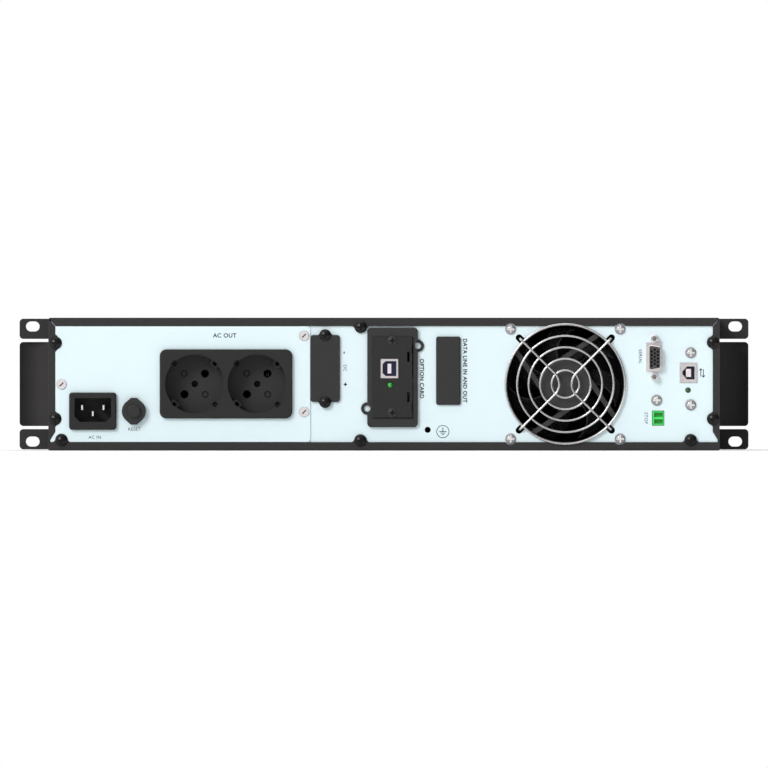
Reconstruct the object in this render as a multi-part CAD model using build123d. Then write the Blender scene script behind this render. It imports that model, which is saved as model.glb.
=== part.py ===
from build123d import *
import math
import os

# A 2U uninterruptible power supply for a 19-inch rack.
# Its front bezel faces -Y, its connections face +Y, and it rests on Z = 0.  Millimetres.

# Overall size
rack_width = 482.6
rack_unit = 44.45
body_width = 438.0
body_height = 86.5
overall_depth = 380.0
front_reach = 1.5  # of the display, in front of the bezel
rear_reach = 8.0  # of the breaker's button, behind the rear panel
bezel_depth = 30.5

# Sheet metal
sheet = 1.2
flange_sheet = 1.0
bend_radius = 1.5
seam = 0.15  # between neighbouring pieces of sheet

half_width = body_width / 2
front_y = -overall_depth / 2 + front_reach
chassis_y = front_y + bezel_depth
panel_y = overall_depth / 2 - rear_reach
panel_back = panel_y - sheet
flange_y = panel_y + flange_sheet
panel_top = body_height - sheet - 0.2

# Rear flanges of the cover and the base
top_flange_z = 81.0
base_flange_z = 5.35
side_flange_x = 214.5
taper_top_z = 12.0
case_screw_head = 4.0
side_screws = [(214.3, 70.0), (214.6, 20.5), (-214.7, 70.4), (-214.7, 20.5)]
top_screws = [(15.2, 80.5)]
base_screws = [(210.4, 6.6), (15.4, 6.4), (-200.1, 6.6)]
screw_hole = 1.8
screw_shank = 1.5

# A screw recess's length and width, over the head's radius
narrow_cross = (1.15, 0.27)
wide_cross = (1.5, 0.4)

# Rack ears
ear_sheet = 2.0
ear_depth = 88.0
slot_pitch_x = 465.1
slot_pitch_z = rack_unit + 31.75
slot_length = 9.0
slot_height = 6.6
slot_low_z = 5.15
tab_height = 13.4
slit = 2.0
ear_corner = 2.5
ear_screw_length = 4.6
grip_reach = 7.0

# Outlet plate and what it carries
outlet_plate_edge = 48.2
outlet_lap = 8.0
outlet_screws = [(210.4, 43.0), (52.2, 74.7), (52.1, 25.0)]
inlet_x, inlet_z = 190.0, 25.5
inlet_pin_z = 27.9
inlet_pin_pitch = 14.0
inlet_earth_drop = 4.0
inlet_pin_size = (2.0, 4.0)
inlet_bezel = (30.9, 24.4)
inlet_body = (26.8, 19.8)
inlet_cavity = (24.0, 15.6)
breaker_x, breaker_z = 163.2, 25.5
breaker_neck = 10.6
breaker_button_radius = 4.25
breaker_travel = 5.0
socket_centres = [(123.6, 43.3), (82.8, 43.3)]
socket_plate_x, socket_plate_z = 103.05, 43.3
socket_plate_size = (86.6, 45.2)
socket_body_size = (82.6, 41.6)
socket_recess = 19.3
socket_depth = 17.5
socket_proud = 3.0
socket_face = flange_y + socket_proud
socket_floor = socket_face - socket_depth
contact_pitch = 19.0
contact_hole = 2.7
rivet_reach, rivet_radius, rivet_middle = 9.7, 2.3, 1.4
centre_hole = 2.1
sleeve_outer, sleeve_inner = 3.6, 2.45
# Seen from behind, each socket's contacts lie on the rising diagonal and its earth clips on the
# falling one.  X points to the viewer's left there.
contact_angles = (135, 315)
clip_angles = (45, 225)

# Ports on the rear panel
battery_port_x, battery_port_z = 38.4, 53.35
battery_port_screw_z = (75.2, 31.4)
battery_blank = 2.0
battery_port_opening = (15.0, 36.0)
battery_blank_size = (19.3, 43.7)
slot_x, slot_z = -5.55, 47.6
slot_frame_size = (33.0, 65.1)
slot_ring, slot_ring_hole, slot_ring_sheet = 4.1, 2.05, 1.0
slot_inner_x = (-19.2, 7.35)
slot_inner_z = (20.6, 74.2)
slot_wall = 1.0
slot_proud = 3.0
slot_ring_places = [(-22.0, 68.15), (10.9, 27.25)]
card_face = panel_y + slot_proud + 0.7
card_plate_y = (card_face - 2.0, card_face)
card_gap = (0.8, 0.15)  # round the card's plate: at -X and below, and at +X and above
card_latches = [((57.7, 64.1), (64.1, 69.6)), ((31.5, 38.0), (25.6, 31.5))]  # slot, then tongue
card_screw_places = [(-5.45, 71.5), (-5.45, 24.55)]
card_usb_x, card_usb_z = -3.55, 53.3
card_led_x, card_led_z, card_led_radius = -4.1, 42.6, 1.8
card_board_x = (-10.9, -9.3)
card_board_z = (28.5, 67.5)
card_board_y = (64.0, card_plate_y[0] - 0.2)
surge_x, surge_z = -42.0, 51.9
surge_blank_size = (16.1, 44.65)
surge_opening = (12.0, 38.0)
earth_x, earth_z, earth_radius = -28.5, 13.35, 2.0
serial_x, serial_z = -176.4, 60.45
serial_screw_pitch = 25.0
usb_x, usb_z = -198.65, 50.5
usb_insert_depth = 6.5
card_usb = {"x": card_usb_x, "z": card_usb_z, "outer": (11.35, 12.5), "inner": (9.0, 9.8),
            "cut": (2.0, 2.0), "tongue": (2.4, 6.3), "face": card_face + 0.8}
panel_usb = {"x": usb_x, "z": usb_z, "outer": (11.05, 12.8), "inner": (7.9, 8.5),
             "cut": (3.0, 3.4), "tongue": (3.3, 5.2), "face": panel_y + 0.8}
comm_led_x, comm_led_z, comm_led_radius = -198.4, 39.25, 1.7
comm_board_y = (164.0, 165.6)
comm_screw_places = [(-177.9, 32.65), (-200.1, 63.65), (-200.1, 29.6)]
epo_x, epo_z = -178.85, 21.0
epo_width, epo_height = 7.2, 9.0
epo_gap = 0.4  # between the plug and the edge of the panel's opening

# Fan
fan_x, fan_z = -118.3, 43.25
fan_side = 80.0
fan_thick = 25.0
fan_hole_offset = 35.75
fan_opening = 38.3
fan_bore = 38.0
fan_hub = 17.0
fan_blades = 7
shaft_radius = 1.5
guard_wire = 0.75
guard_rings = (39.0, 31.45, 24.0, 16.5, 9.0)
guard_ring_y = flange_y + 0.9
guard_stay_y = guard_ring_y + 1.3
guard_end = 29.6  # of each stay from the fan's centre, in X and in Z

# Front
display_x, display_z = 12.0, 43.25
display_radius = 31.0
running_clearance = 0.05
bezel_wall = 2.5
drawer_x = (-215.8, -56.2)
drawer_z = (3.7, 82.8)
drawer_gap = 0.4
button_radius = 3.5
button_drop = 21.5
button_pitch = 12.0
pull_x, pull_z = -136.0, 43.25
pull_width, pull_height, pull_depth = 46.0, 16.0, 5.5

# Batteries: two of 12 V, lying on their sides one behind the other
battery_size = (151.0, 94.0, 65.0)
battery_gap = 8.0
tray_floor_z = 4.3
tray_sheet = 1.2
tray_back_y = 24.0

# Power stage
board_z = 9.6
board_sheet = 1.6
heatsink_y = (-120.0, -20.0)
heatsink_top = 62.0


def block(x, y, z):
    """A box between two values of x, of y and of z."""
    size = [max(pair) - min(pair) for pair in (x, y, z)]
    centre = [(pair[0] + pair[1]) / 2 for pair in (x, y, z)]
    return Pos(*centre) * Box(*size)


def prism(outline, y):
    """An outline in X and Z, extruded between two values of y."""
    plane = Plane(origin=(0, y[1], 0), x_dir=(1, 0, 0), z_dir=(0, -1, 0))
    return extrude(plane * outline, amount=y[1] - y[0], dir=(0, -1, 0))


def side_prism(outline, x):
    """An outline in Y and Z, extruded between two values of x."""
    plane = Plane(origin=(x[0], 0, 0), x_dir=(0, 1, 0), z_dir=(1, 0, 0))
    return extrude(plane * outline, amount=x[1] - x[0], dir=(1, 0, 0))


def disc(x, z, radius, y):
    return prism(Pos(x, z) * Circle(radius), y)


def tube(x, z, outer, inner, y):
    return prism(Pos(x, z) * (Circle(outer) - Circle(inner)), y)


def plate(x, z, width, height, y, corner=0.0):
    shape = RectangleRounded(width, height, corner) if corner else Rectangle(width, height)
    return prism(Pos(x, z) * shape, y)


def rectangle(x, z):
    """A flat rectangle between two values of x and of z."""
    return Pos((x[0] + x[1]) / 2, (z[0] + z[1]) / 2) * Rectangle(abs(x[1] - x[0]), abs(z[1] - z[0]))


def holes(places, radius):
    """Flat round holes at several places."""
    flat = Sketch()
    for x, z in places:
        flat += Pos(x, z) * Circle(radius)
    return flat


def group(shapes):
    """Separate solids kept together in one node."""
    return Compound([solid for shape in shapes for solid in shape.solids()])


def rear_edges(shape, y):
    return shape.edges().filter_by_position(Axis.Y, y - 0.01, y + 0.01)


def fan_corners(offset):
    return [(fan_x + sx * offset, fan_z + sz * offset) for sx in (1, -1) for sz in (1, -1)]


def screw(x, z, seat_y, radius, height, shank_length, shank=screw_shank, cross=narrow_cross):
    """A domed cross-head screw: its head rests on seat_y and its shank points to -Y."""
    rim = 0.25 * height
    crown = height - rim
    dome_radius = (radius**2 + crown**2) / (2 * crown)
    head = disc(x, z, radius, (seat_y, seat_y + height))
    head &= Pos(x, seat_y + height - dome_radius, z) * Sphere(dome_radius)
    recess_length, recess_width = cross[0] * radius, cross[1] * radius
    recess_y = seat_y + height
    for size in ((recess_length, recess_width), (recess_width, recess_length)):
        head -= Pos(x, recess_y, z) * Box(size[0], height, size[1])
    return head + disc(x, z, shank, (seat_y - shank_length, seat_y))


# ---------------------------------------------------------------- sheet-metal flanges


def flared_tab(x, z, edge, turn, grow):
    """The tab under one flange screw.  Its flange's edge lies edge behind the screw, and
    turn rotates the tab from pointing up to pointing into the panel."""
    foot, neck, rise = 5.5 + grow, 3.9 + grow, 1.4
    flare = Polygon(
        (-foot, -edge - 1), (foot, -edge - 1), (foot, -edge), (neck, rise - edge), (-neck, rise - edge),
        (-foot, -edge), align=None
    )
    return Pos(x, z) * Rot(0, 0, turn) * (flare + Circle(case_screw_head + 0.1 + grow))


def fan_notch():
    """What the flanges leave free for the fan's opening and its screws."""
    notch = Pos(fan_x, fan_z) * Circle(fan_opening + 0.3)
    return notch + holes(fan_corners(fan_hole_offset), 3.9)


def cover_flange(grow):
    """The cover's rear flange: a strip along the top and one down each side."""
    flat = rectangle((-half_width, half_width), (top_flange_z - grow, body_height))
    tip_width = 0.5
    for side in (1, -1):
        inner = side * (side_flange_x - grow)
        flat += rectangle((inner, side * half_width), (taper_top_z, top_flange_z))
        flat += Polygon(
            (inner, taper_top_z), (side * half_width, taper_top_z),
            (side * half_width, base_flange_z + seam),
            (side * (half_width - tip_width - grow), base_flange_z + seam), align=None
        )
    for x, z in side_screws:
        turn = 90 if x > 0 else -90
        flat += flared_tab(x, z, abs(x) - side_flange_x, turn, grow)
    for x, z in top_screws:
        flat += flared_tab(x, z, top_flange_z - z, 180, grow)
    return flat


def base_flange(grow):
    """The base's rear flange: a strip along the bottom."""
    flat = rectangle((-half_width, half_width), (0, base_flange_z + grow))
    for x, z in base_screws:
        flat += flared_tab(x, z, z - base_flange_z, 0, grow)
    return flat


def corner_reliefs():
    """The mitre gap and the round relief at each top corner of the cover's flange."""
    gap_width = 0.45
    relief = 0.7
    inner = Vector(side_flange_x, top_flange_z)
    outer = Vector(half_width - 1.1, body_height - 1.6)
    middle = (inner + outer) / 2
    span = outer - inner
    angle = math.degrees(math.atan2(span.Y, span.X))
    flat = Pos(middle.X, middle.Y) * Rot(0, 0, angle) * Rectangle(span.length + 0.6, gap_width)
    flat += Pos(outer.X, outer.Y) * Circle(relief)
    return flat + mirror(flat, Plane.YZ)


def top_cover():
    """The inverted U that makes the top and the sides."""
    outer = rectangle((-half_width, half_width), (sheet, body_height))
    outer = fillet(outer.vertices().group_by(Axis.Y)[-1], bend_radius)
    inside = half_width - sheet
    inner = rectangle((-inside, inside), (0, body_height - sheet))
    skin = prism(outer - inner, (chassis_y, panel_y))
    flat = (cover_flange(0) - corner_reliefs() - fan_notch()) & outer
    flat -= holes(side_screws + top_screws, screw_hole)
    cover = skin + prism(flat, (panel_y, flange_y))
    vent_count, vent_pitch, vent_height, vent_width = 12, 9.0, 36.0, 3.2
    vents = Sketch()
    for bank_y in (-10.0, 110.0):
        for number in range(vent_count):
            along = bank_y + (number - (vent_count - 1) / 2) * vent_pitch
            vents += Pos(along, body_height / 2) * SlotOverall(vent_height, vent_width, rotation=90)
    cover -= side_prism(vents, (-half_width - 1, half_width + 1))
    return cover - ear_screw_shapes(screw_hole, screw_hole, 0)


def base_tray():
    """The bottom, with its rear flange, side lips and the runners under the battery tray."""
    lip_height = 12.0
    lip = half_width - sheet - 0.2
    runner_width = 8.0
    tray = block((-half_width, half_width), (chassis_y, flange_y), (0, sheet))
    flat = base_flange(0) - fan_notch() - holes(base_screws, screw_hole)
    tray += prism(flat, (panel_y, flange_y))
    for side in (1, -1):
        edge = (side * (lip - sheet), side * lip)
        tray += block(edge, (chassis_y + 3, panel_back - 2), (sheet - 0.1, lip_height))
    for x in (-203.0, -69.0):
        foot = (x - runner_width / 2, x + runner_width / 2)
        tray += block(foot, (chassis_y + 3, tray_back_y + 6), (sheet - 0.1, tray_floor_z - 0.2))
    return tray


def rear_panel():
    """The light-coloured panel that carries the ports, with an opening for each.  The outlet
    plate laps over its edge and carries on from there."""
    x = (-half_width + sheet + seam, outlet_plate_edge + outlet_lap)
    flat = rectangle(x, (sheet + seam, panel_top))
    flat -= holes(side_screws + top_screws + base_screws + outlet_screws, screw_hole)
    flat -= Pos(battery_port_x, battery_port_z) * Rectangle(*battery_port_opening)
    flat -= holes([(battery_port_x, z) for z in battery_port_screw_z], screw_hole)
    wall = slot_wall + seam
    flat -= rectangle(
        (slot_inner_x[0] - wall, slot_inner_x[1] + wall), (slot_inner_z[0] - wall, slot_inner_z[1] + wall)
    )
    flat -= Pos(surge_x, surge_z) * Rectangle(*surge_opening)
    flat -= Pos(earth_x, earth_z) * Circle(earth_radius)
    flat -= fan_opening_outline()
    flat -= holes(fan_corners(fan_hole_offset), screw_hole + 0.2)
    flat -= serial_outline(0.3)
    flat -= holes(serial_screw_places(), 1.7)
    flat -= Pos(usb_x, usb_z) * Rectangle(panel_usb["outer"][0] + 0.3, panel_usb["outer"][1] + 0.3)
    flat -= Pos(comm_led_x, comm_led_z) * Circle(comm_led_radius + 0.15)
    flat -= Pos(epo_x, epo_z) * Rectangle(epo_width + 2 * epo_gap, epo_height + 2 * epo_gap)
    flat -= holes(comm_screw_places, screw_hole)
    return prism(flat, (panel_back, panel_y))


def fan_opening_outline():
    """The fan's round opening and the four obround slots for the guard's bent ends."""
    flat = Pos(fan_x, fan_z) * Circle(fan_opening)
    return flat + guard_slots()


def guard_slots():
    slot_start, slot_end, slot_radius = 36.0, 42.7, 2.2
    flat = Sketch()
    for angle in (45, 135, 225, 315):
        slot = SlotCenterToCenter(slot_end - slot_start, 2 * slot_radius)
        slot = Pos((slot_start + slot_end) / 2, 0) * slot
        flat += Pos(fan_x, fan_z) * Rot(0, 0, angle) * slot
    return flat


def front_panel():
    """The metal bulkhead behind the bezel, open for the battery drawer and for air."""
    inside = half_width - sheet - seam
    flat = rectangle((-inside, inside), (sheet + seam, panel_top))
    flat -= rectangle((drawer_x[0] + drawer_gap, drawer_x[1] - drawer_gap), (drawer_z[0], panel_top - 1.1))
    flat -= Pos(display_x, display_z) * Rectangle(40.0, 20.0)
    vent_length, vent_height, vent_pitch = 60.0, 4.0, 9.0
    for x in (100.0, 172.0):
        for row in range(7):
            flat -= Pos(x, 16.0 + row * vent_pitch) * SlotOverall(vent_length, vent_height)
    return prism(flat, (chassis_y, chassis_y + sheet))


def battery_divider():
    """The wall between the battery bay and the power stage, with a foot on the base."""
    wall_x = -54.8
    foot_width = 13.0
    wall = block((wall_x, wall_x + sheet), (chassis_y + sheet, 40.0), (sheet, 80.0))
    return wall + block((wall_x, wall_x + foot_width), (chassis_y + sheet, 40.0), (sheet, 2 * sheet))


# ---------------------------------------------------------------- rack ears


def ear_screw_places():
    return [(chassis_y + along, z) for along in (22.0, 70.0) for z in (20.0, 66.5)]


def ear_screw_shapes(head, shank, head_inset):
    """The eight screws of the ears, or the holes for them: a flush head and a shank."""
    face = half_width + ear_sheet
    shapes = []
    for side in (1, -1):
        for y, z in ear_screw_places():
            spans = [(face - 1.4, face - head_inset, head), (face - ear_screw_length, face - 1.4, shank)]
            piece = Part()
            for near, far, radius in spans:
                ends = sorted((side * near, side * far))
                piece += side_prism(Pos(y, z) * Circle(radius), ends)
            shapes.append(piece)
    return group(shapes)


def rack_ear(side):
    """One ear: a plate on the body's side, two slotted tabs and a curved grip between them."""
    outer = rack_width / 2
    root = half_width + ear_sheet
    slit_end = root + 0.3
    back = chassis_y + ear_sheet
    ear = block((half_width, root), (chassis_y, chassis_y + ear_depth), (0, body_height))
    ear += block((half_width, slit_end), (chassis_y, back), (0, body_height))
    for low in (0, body_height - tab_height):
        flat = rectangle((half_width, outer), (low, low + tab_height))
        flat = fillet(flat.vertices().group_by(Axis.X)[-1], ear_corner)
        slot_z = slot_low_z if low == 0 else slot_low_z + slot_pitch_z
        flat -= Pos(slot_pitch_x / 2, slot_z) * SlotOverall(slot_length, slot_height)
        ear += prism(flat, (chassis_y, back))
    middle = (root + outer) / 2
    tip_y = -0.6 * grip_reach
    curve = ThreePointArc((root - 0.5, back), (middle, back - grip_reach), (outer, back + tip_y))
    return_curve = ThreePointArc(
        (outer, chassis_y + tip_y), (middle, chassis_y - grip_reach), (root - 0.5, chassis_y)
    )
    face = make_face(
        curve + Line(curve @ 1, return_curve @ 0) + return_curve + Line(return_curve @ 1, curve @ 0)
    )
    low = tab_height + slit
    grip = extrude(Pos(0, 0, low) * face, amount=body_height - 2 * low, dir=(0, 0, 1))
    corner_edges = grip.edges().filter_by(Axis.Y, tolerance=40).group_by(Axis.X)[-1]
    grip = fillet(corner_edges, ear_corner)
    ear += grip
    if side < 0:
        ear = mirror(ear, Plane.YZ)
    return ear - ear_screw_shapes(3.5, screw_hole, 0)


# ---------------------------------------------------------------- outlet plate


def outlet_plate():
    """The plate that carries the mains inlet, the breaker and the two sockets."""
    x = (outlet_plate_edge, half_width - sheet - seam)
    flat = rectangle(x, (base_flange_z + seam, top_flange_z - seam))
    flat = fillet(flat.vertices().group_by(Axis.X)[0], 2.0)
    flat -= cover_flange(seam) + base_flange(seam)
    flat -= holes(outlet_screws, screw_hole)
    slack = 0.4
    flat -= Pos(inlet_x, inlet_z) * Rectangle(inlet_body[0] + slack, inlet_body[1] + slack)
    flat -= Pos(breaker_x, breaker_z) * Rectangle(breaker_neck + slack, breaker_neck + slack)
    width, height = socket_body_size
    flat -= Pos(socket_plate_x, socket_plate_z) * Rectangle(width + slack, height + slack)
    return prism(flat, (panel_y, flange_y))


def outlet_bracket():
    """The upright strip that the outlet plate and the cover are screwed to, with its foot."""
    x = (half_width - sheet - 14.0, half_width - sheet - 0.6)
    foot_depth, strip_top = 18.0, panel_top
    strip = prism(rectangle(x, (sheet, strip_top)), (panel_back, panel_y))
    foot_x = (x[0], half_width - 2 * sheet - 0.5)
    bracket = strip + block(foot_x, (panel_back - foot_depth, panel_y), (sheet, 2 * sheet))
    screw_holes = holes(side_screws + base_screws + outlet_screws, screw_hole)
    return bracket - prism(screw_holes, (panel_back, panel_y))


def outlet_plate_screws():
    """Flat slotted screws, nearly flush with the plate."""
    head, proud, slot_size, slot_depth = 3.3, 0.7, (3.4, 0.8), 0.5
    shapes = []
    for x, z in outlet_screws:
        piece = disc(x, z, head, (flange_y, flange_y + proud))
        piece += disc(x, z, screw_shank, (flange_y - 8.0, flange_y))
        piece = chamfer(rear_edges(piece, flange_y + proud), 0.3)
        driver_slot = Box(slot_size[0], 2 * slot_depth, slot_size[1])
        piece -= Pos(x, flange_y + proud, z) * Rot(0, 45, 0) * driver_slot
        shapes.append(piece)
    return group(shapes)


def inlet_pin_places():
    half = inlet_pin_pitch / 2
    earth = (inlet_x, inlet_pin_z - inlet_earth_drop)
    return [(inlet_x + half, inlet_pin_z), (inlet_x - half, inlet_pin_z), earth]


def inlet_pins():
    """The three flat pins of the mains inlet: tapered tips in front, solder tails behind."""
    tip = flange_y - 0.8
    pins = [plate(x, z, *inlet_pin_size, (flange_y - 32.0, tip)) for x, z in inlet_pin_places()]
    return group([chamfer(rear_edges(pin, tip), 0.5) for pin in pins])


def inlet_housing():
    """The mains inlet: a bezel and a cavity whose two lower corners are cut off."""
    proud, depth = 3.0, 16.5
    face = flange_y + proud
    corner_cut, cavity_rise = 3.5, 0.8
    bezel = plate(inlet_x, inlet_z, *inlet_bezel, (flange_y, face), 2.1)
    bezel = chamfer(rear_edges(bezel, face), 0.8)
    housing = bezel + plate(inlet_x, inlet_z, *inlet_body, (flange_y - 24.0, flange_y), 1.0)
    middle = inlet_z + cavity_rise
    half, high = inlet_cavity[0] / 2, middle + inlet_cavity[1] / 2
    low = middle - inlet_cavity[1] / 2
    cavity = Polygon(
        (-half, high), (half, high), (half, low + corner_cut), (half - corner_cut, low),
        (corner_cut - half, low), (-half, low + corner_cut), align=None
    )
    housing -= prism(Pos(inlet_x, 0) * cavity, (face - depth, face))
    return housing - inlet_pins()


def breaker_outline(grow):
    """A round collar with a small flat at its top and its bottom."""
    radius, crown_half = 7.85 + grow, 2.0
    reach = 8.7 + grow
    flat = Circle(radius)
    for end in (1, -1):
        root = (0.7 * radius, end * 0.71 * radius)
        flat += Polygon(
            (-root[0], root[1]), root, (crown_half, end * reach), (-crown_half, end * reach), align=None
        )
    return flat


def breaker_body():
    """The thermal breaker: a collar outside, a threaded neck and the body inside."""
    proud = 4.5
    face = flange_y + proud
    collar = prism(Pos(breaker_x, breaker_z) * breaker_outline(0), (flange_y, face - 0.6))
    collar += prism(Pos(breaker_x, breaker_z) * breaker_outline(-0.6), (face - 0.6, face))
    body = collar + plate(breaker_x, breaker_z, breaker_neck, breaker_neck, (flange_y - 3.0, flange_y))
    body += plate(breaker_x, breaker_z, 15.0, 28.0, (flange_y - 33.0, flange_y - 3.0), 1.0)
    bore = breaker_button_radius + running_clearance
    body -= disc(breaker_x, breaker_z, bore, (flange_y - 14.0, face + 1))
    for z in (-8.0, 8.0):
        body += plate(breaker_x, breaker_z + z, 0.8, 6.3, (flange_y - 41.0, flange_y - 33.0))
    return body


def breaker_button():
    """The push-to-reset button, which pops out when the breaker trips."""
    tip = overall_depth / 2
    button = disc(breaker_x, breaker_z, breaker_button_radius, (flange_y - 13.0, tip))
    return fillet(rear_edges(button, tip), 0.8)


def around_socket(x, z, angle, radius, size, y):
    """A block at a radius and angle about a socket's centre: size is radial, then sideways."""
    turned = Pos(x, z) * Rot(0, 0, angle) * Pos(radius, 0) * Rectangle(*size)
    return prism(turned, y)


def contact_places():
    reach = contact_pitch / 2
    places = []
    for x, z in socket_centres:
        for angle in contact_angles:
            turn = math.radians(angle)
            places.append((x + reach * math.cos(turn), z + reach * math.sin(turn)))
    return places


def socket_housing():
    """Two round safety sockets in one moulded plate."""
    face, floor = socket_face, socket_floor
    back = floor - 19.0
    front_plate = plate(socket_plate_x, socket_plate_z, *socket_plate_size, (flange_y, face), 4.5)
    front_plate = fillet(rear_edges(front_plate, face), 1.0)
    housing = front_plate + plate(socket_plate_x, socket_plate_z, *socket_body_size, (back, flange_y), 3.0)
    for x, z in socket_centres:
        housing -= disc(x, z, socket_recess, (floor, face))
        housing -= disc(x, z, centre_hole, (floor - 6.0, floor))
        for angle in contact_angles:
            housing += around_socket(x, z, angle, 18.4, (3.4, 5.4), (floor, face - 2.0))
            housing -= around_socket(x, z, angle, 18.5, (2.4, 3.0), (face - 12.0, face))
        for angle in clip_angles:
            housing -= around_socket(x, z, angle, 19.1, (2.4, 4.0), (floor, face))
            housing -= around_socket(x, z, angle, 18.7, (2.8, 2.8), (floor - 3.0, floor))
            turn = math.radians(angle)
            rivet = (x + rivet_reach * math.cos(turn), z + rivet_reach * math.sin(turn))
            housing -= tube(*rivet, rivet_radius, rivet_middle, (floor - 1.0, floor))
    for x, z in contact_places():
        housing -= disc(x, z, contact_hole, (floor - 2.0, floor))
        housing -= disc(x, z, sleeve_outer + 0.2, (back, floor - 2.0))
    return housing


def socket_contacts():
    """The sprung sleeves that grip a plug's pins, one behind each contact hole."""
    back, front = socket_floor - 22.0, socket_floor - 4.0
    sleeves = []
    for x, z in contact_places():
        sleeve = tube(x, z, sleeve_outer, sleeve_inner, (back, front))
        sleeves.append(sleeve - plate(x, z - 3.0, 0.8, 3.0, (front - 10.0, front + 1.0)))
    return group(sleeves)


def earth_clips():
    """The earth strips at the rims of the recesses, each with a bulge towards the plug."""
    floor = socket_floor
    clips = []
    for x, z in socket_centres:
        for angle in clip_angles:
            clip = around_socket(x, z, angle, 19.6, (0.8, 3.6), (floor, floor + 15.5))
            clips.append(clip + around_socket(x, z, angle, 19.0, (0.8, 3.6), (floor + 8.0, floor + 13.0)))
    return group(clips)


def socket_screws():
    """The screw sunk in the middle of each socket."""
    return group([screw(x, z, socket_floor - 5.0, 1.9, 1.4, 1.0, 1.0) for x, z in socket_centres])


# ---------------------------------------------------------------- battery port and blanks


def battery_port_cover():
    """The blank over the external-battery port, with a tab for each screw."""
    face = panel_y + battery_blank
    flat = Pos(battery_port_x, battery_port_z) * RectangleRounded(*battery_blank_size, 2.0)
    half = battery_blank_size[1] / 2
    for z, turn in zip(battery_port_screw_z, (0, 180)):
        flat += flared_tab(battery_port_x, z, abs(z - battery_port_z) - half + 0.4, turn, -0.4)
    flat -= holes([(battery_port_x, z) for z in battery_port_screw_z], screw_hole)
    return chamfer(prism(flat, (panel_y, face)).faces().sort_by(Axis.Y)[-1].outer_wire().edges(), 0.4)


def case_screws():
    """The black screws that hold the cover, the base, the rear panel and the battery port's blank."""
    places = side_screws + top_screws + base_screws
    screws = [screw(x, z, flange_y, case_screw_head, 2.5, 8.0) for x, z in places]
    blank_y = panel_y + battery_blank
    screws += [screw(battery_port_x, z, blank_y, 3.85, 2.4, 9.0) for z in battery_port_screw_z]
    return group(screws)


def battery_port_connector():
    """The two-pole high-current connector behind the blank."""
    back, front = panel_back - 28.0, panel_back - 0.5
    body = plate(battery_port_x, battery_port_z, 14.0, 34.0, (back, front), 1.5)
    for z in (-8.5, 8.5):
        body -= plate(battery_port_x, battery_port_z + z, 9.0, 12.0, (front - 16.0, front), 1.0)
        body += plate(battery_port_x, battery_port_z + z, 2.4, 7.0, (front - 17.0, front - 3.0))
    return body


def surge_port_cover():
    """The raised blank over the surge-protected data port, with a snap collar behind."""
    face = panel_y + 2.6
    cover = plate(surge_x, surge_z, *surge_blank_size, (panel_y, face), 1.6)
    cover = chamfer(rear_edges(cover, face), 1.1)
    width, height = surge_opening[0] - 0.4, surge_opening[1] - 0.4
    collar = plate(surge_x, surge_z, width, height, (panel_y - 4.0, panel_y))
    collar -= plate(surge_x, surge_z, width - 2.4, height - 2.4, (panel_y - 5.0, panel_y - 0.5))
    return cover + collar


def earth_nut():
    """The clinch nut that makes the earth terminal's thread."""
    flat = RegularPolygon(4.0, 6) - Circle(earth_radius)
    return prism(Pos(earth_x, earth_z) * flat, (panel_back - 4.2, panel_back))


# ---------------------------------------------------------------- communication slot and its card


def slot_frame():
    """The moulded frame of the slot, its sleeve, its two ring tabs and the screw ledges."""
    face = panel_y + slot_proud
    frame = plate(slot_x, slot_z, *slot_frame_size, (panel_y, face), 2.7)
    frame = chamfer(rear_edges(frame, face), 0.6)
    for x, z in slot_ring_places:
        frame += disc(x, z, slot_ring, (panel_y, panel_y + slot_ring_sheet))
    outer = rectangle(
        (slot_inner_x[0] - slot_wall, slot_inner_x[1] + slot_wall),
        (slot_inner_z[0] - slot_wall, slot_inner_z[1] + slot_wall)
    )
    inner = rectangle(slot_inner_x, slot_inner_z)
    frame += prism(outer, (panel_y - 32.0, panel_y))
    frame -= prism(inner, (panel_y - 33.0, face + 1))
    bite, board_room = 0.1, 0.9
    ledge_x = (slot_inner_x[0] - bite, slot_inner_x[1] + bite)
    low_ledge = (slot_inner_z[0] - bite, card_board_z[0] - board_room)
    high_ledge = (card_board_z[1] + board_room, slot_inner_z[1] + bite)
    for z in (low_ledge, high_ledge):
        frame += block(ledge_x, (panel_y - 6.0, card_plate_y[0]), z)
    frame -= prism(holes(card_screw_places, 1.6), (panel_y - 7.0, face))
    return frame - prism(holes(slot_ring_places, slot_ring_hole), (panel_y, face + 1))


def slot_guides():
    """The two grooved rails that the card's board slides in, joined at their front end."""
    rail_x = (-14.0, -6.2)
    rail_y = (62.0, panel_y - 32.0)
    slack = 0.3
    low = (24.5, 30.0)
    high = (66.0, 71.5)
    guides = block(rail_x, rail_y, low) + block(rail_x, rail_y, high)
    groove_x = (card_board_x[0] - slack, card_board_x[1] + slack)
    guides -= block(groove_x, (rail_y[0] + 1.5, rail_y[1]), (card_board_z[0] - slack, low[1]))
    guides -= block(groove_x, (rail_y[0] + 1.5, rail_y[1]), (high[0], card_board_z[1] + slack))
    return guides + block(rail_x, (rail_y[0], rail_y[0] + 1.5), (low[0], high[1]))


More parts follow.
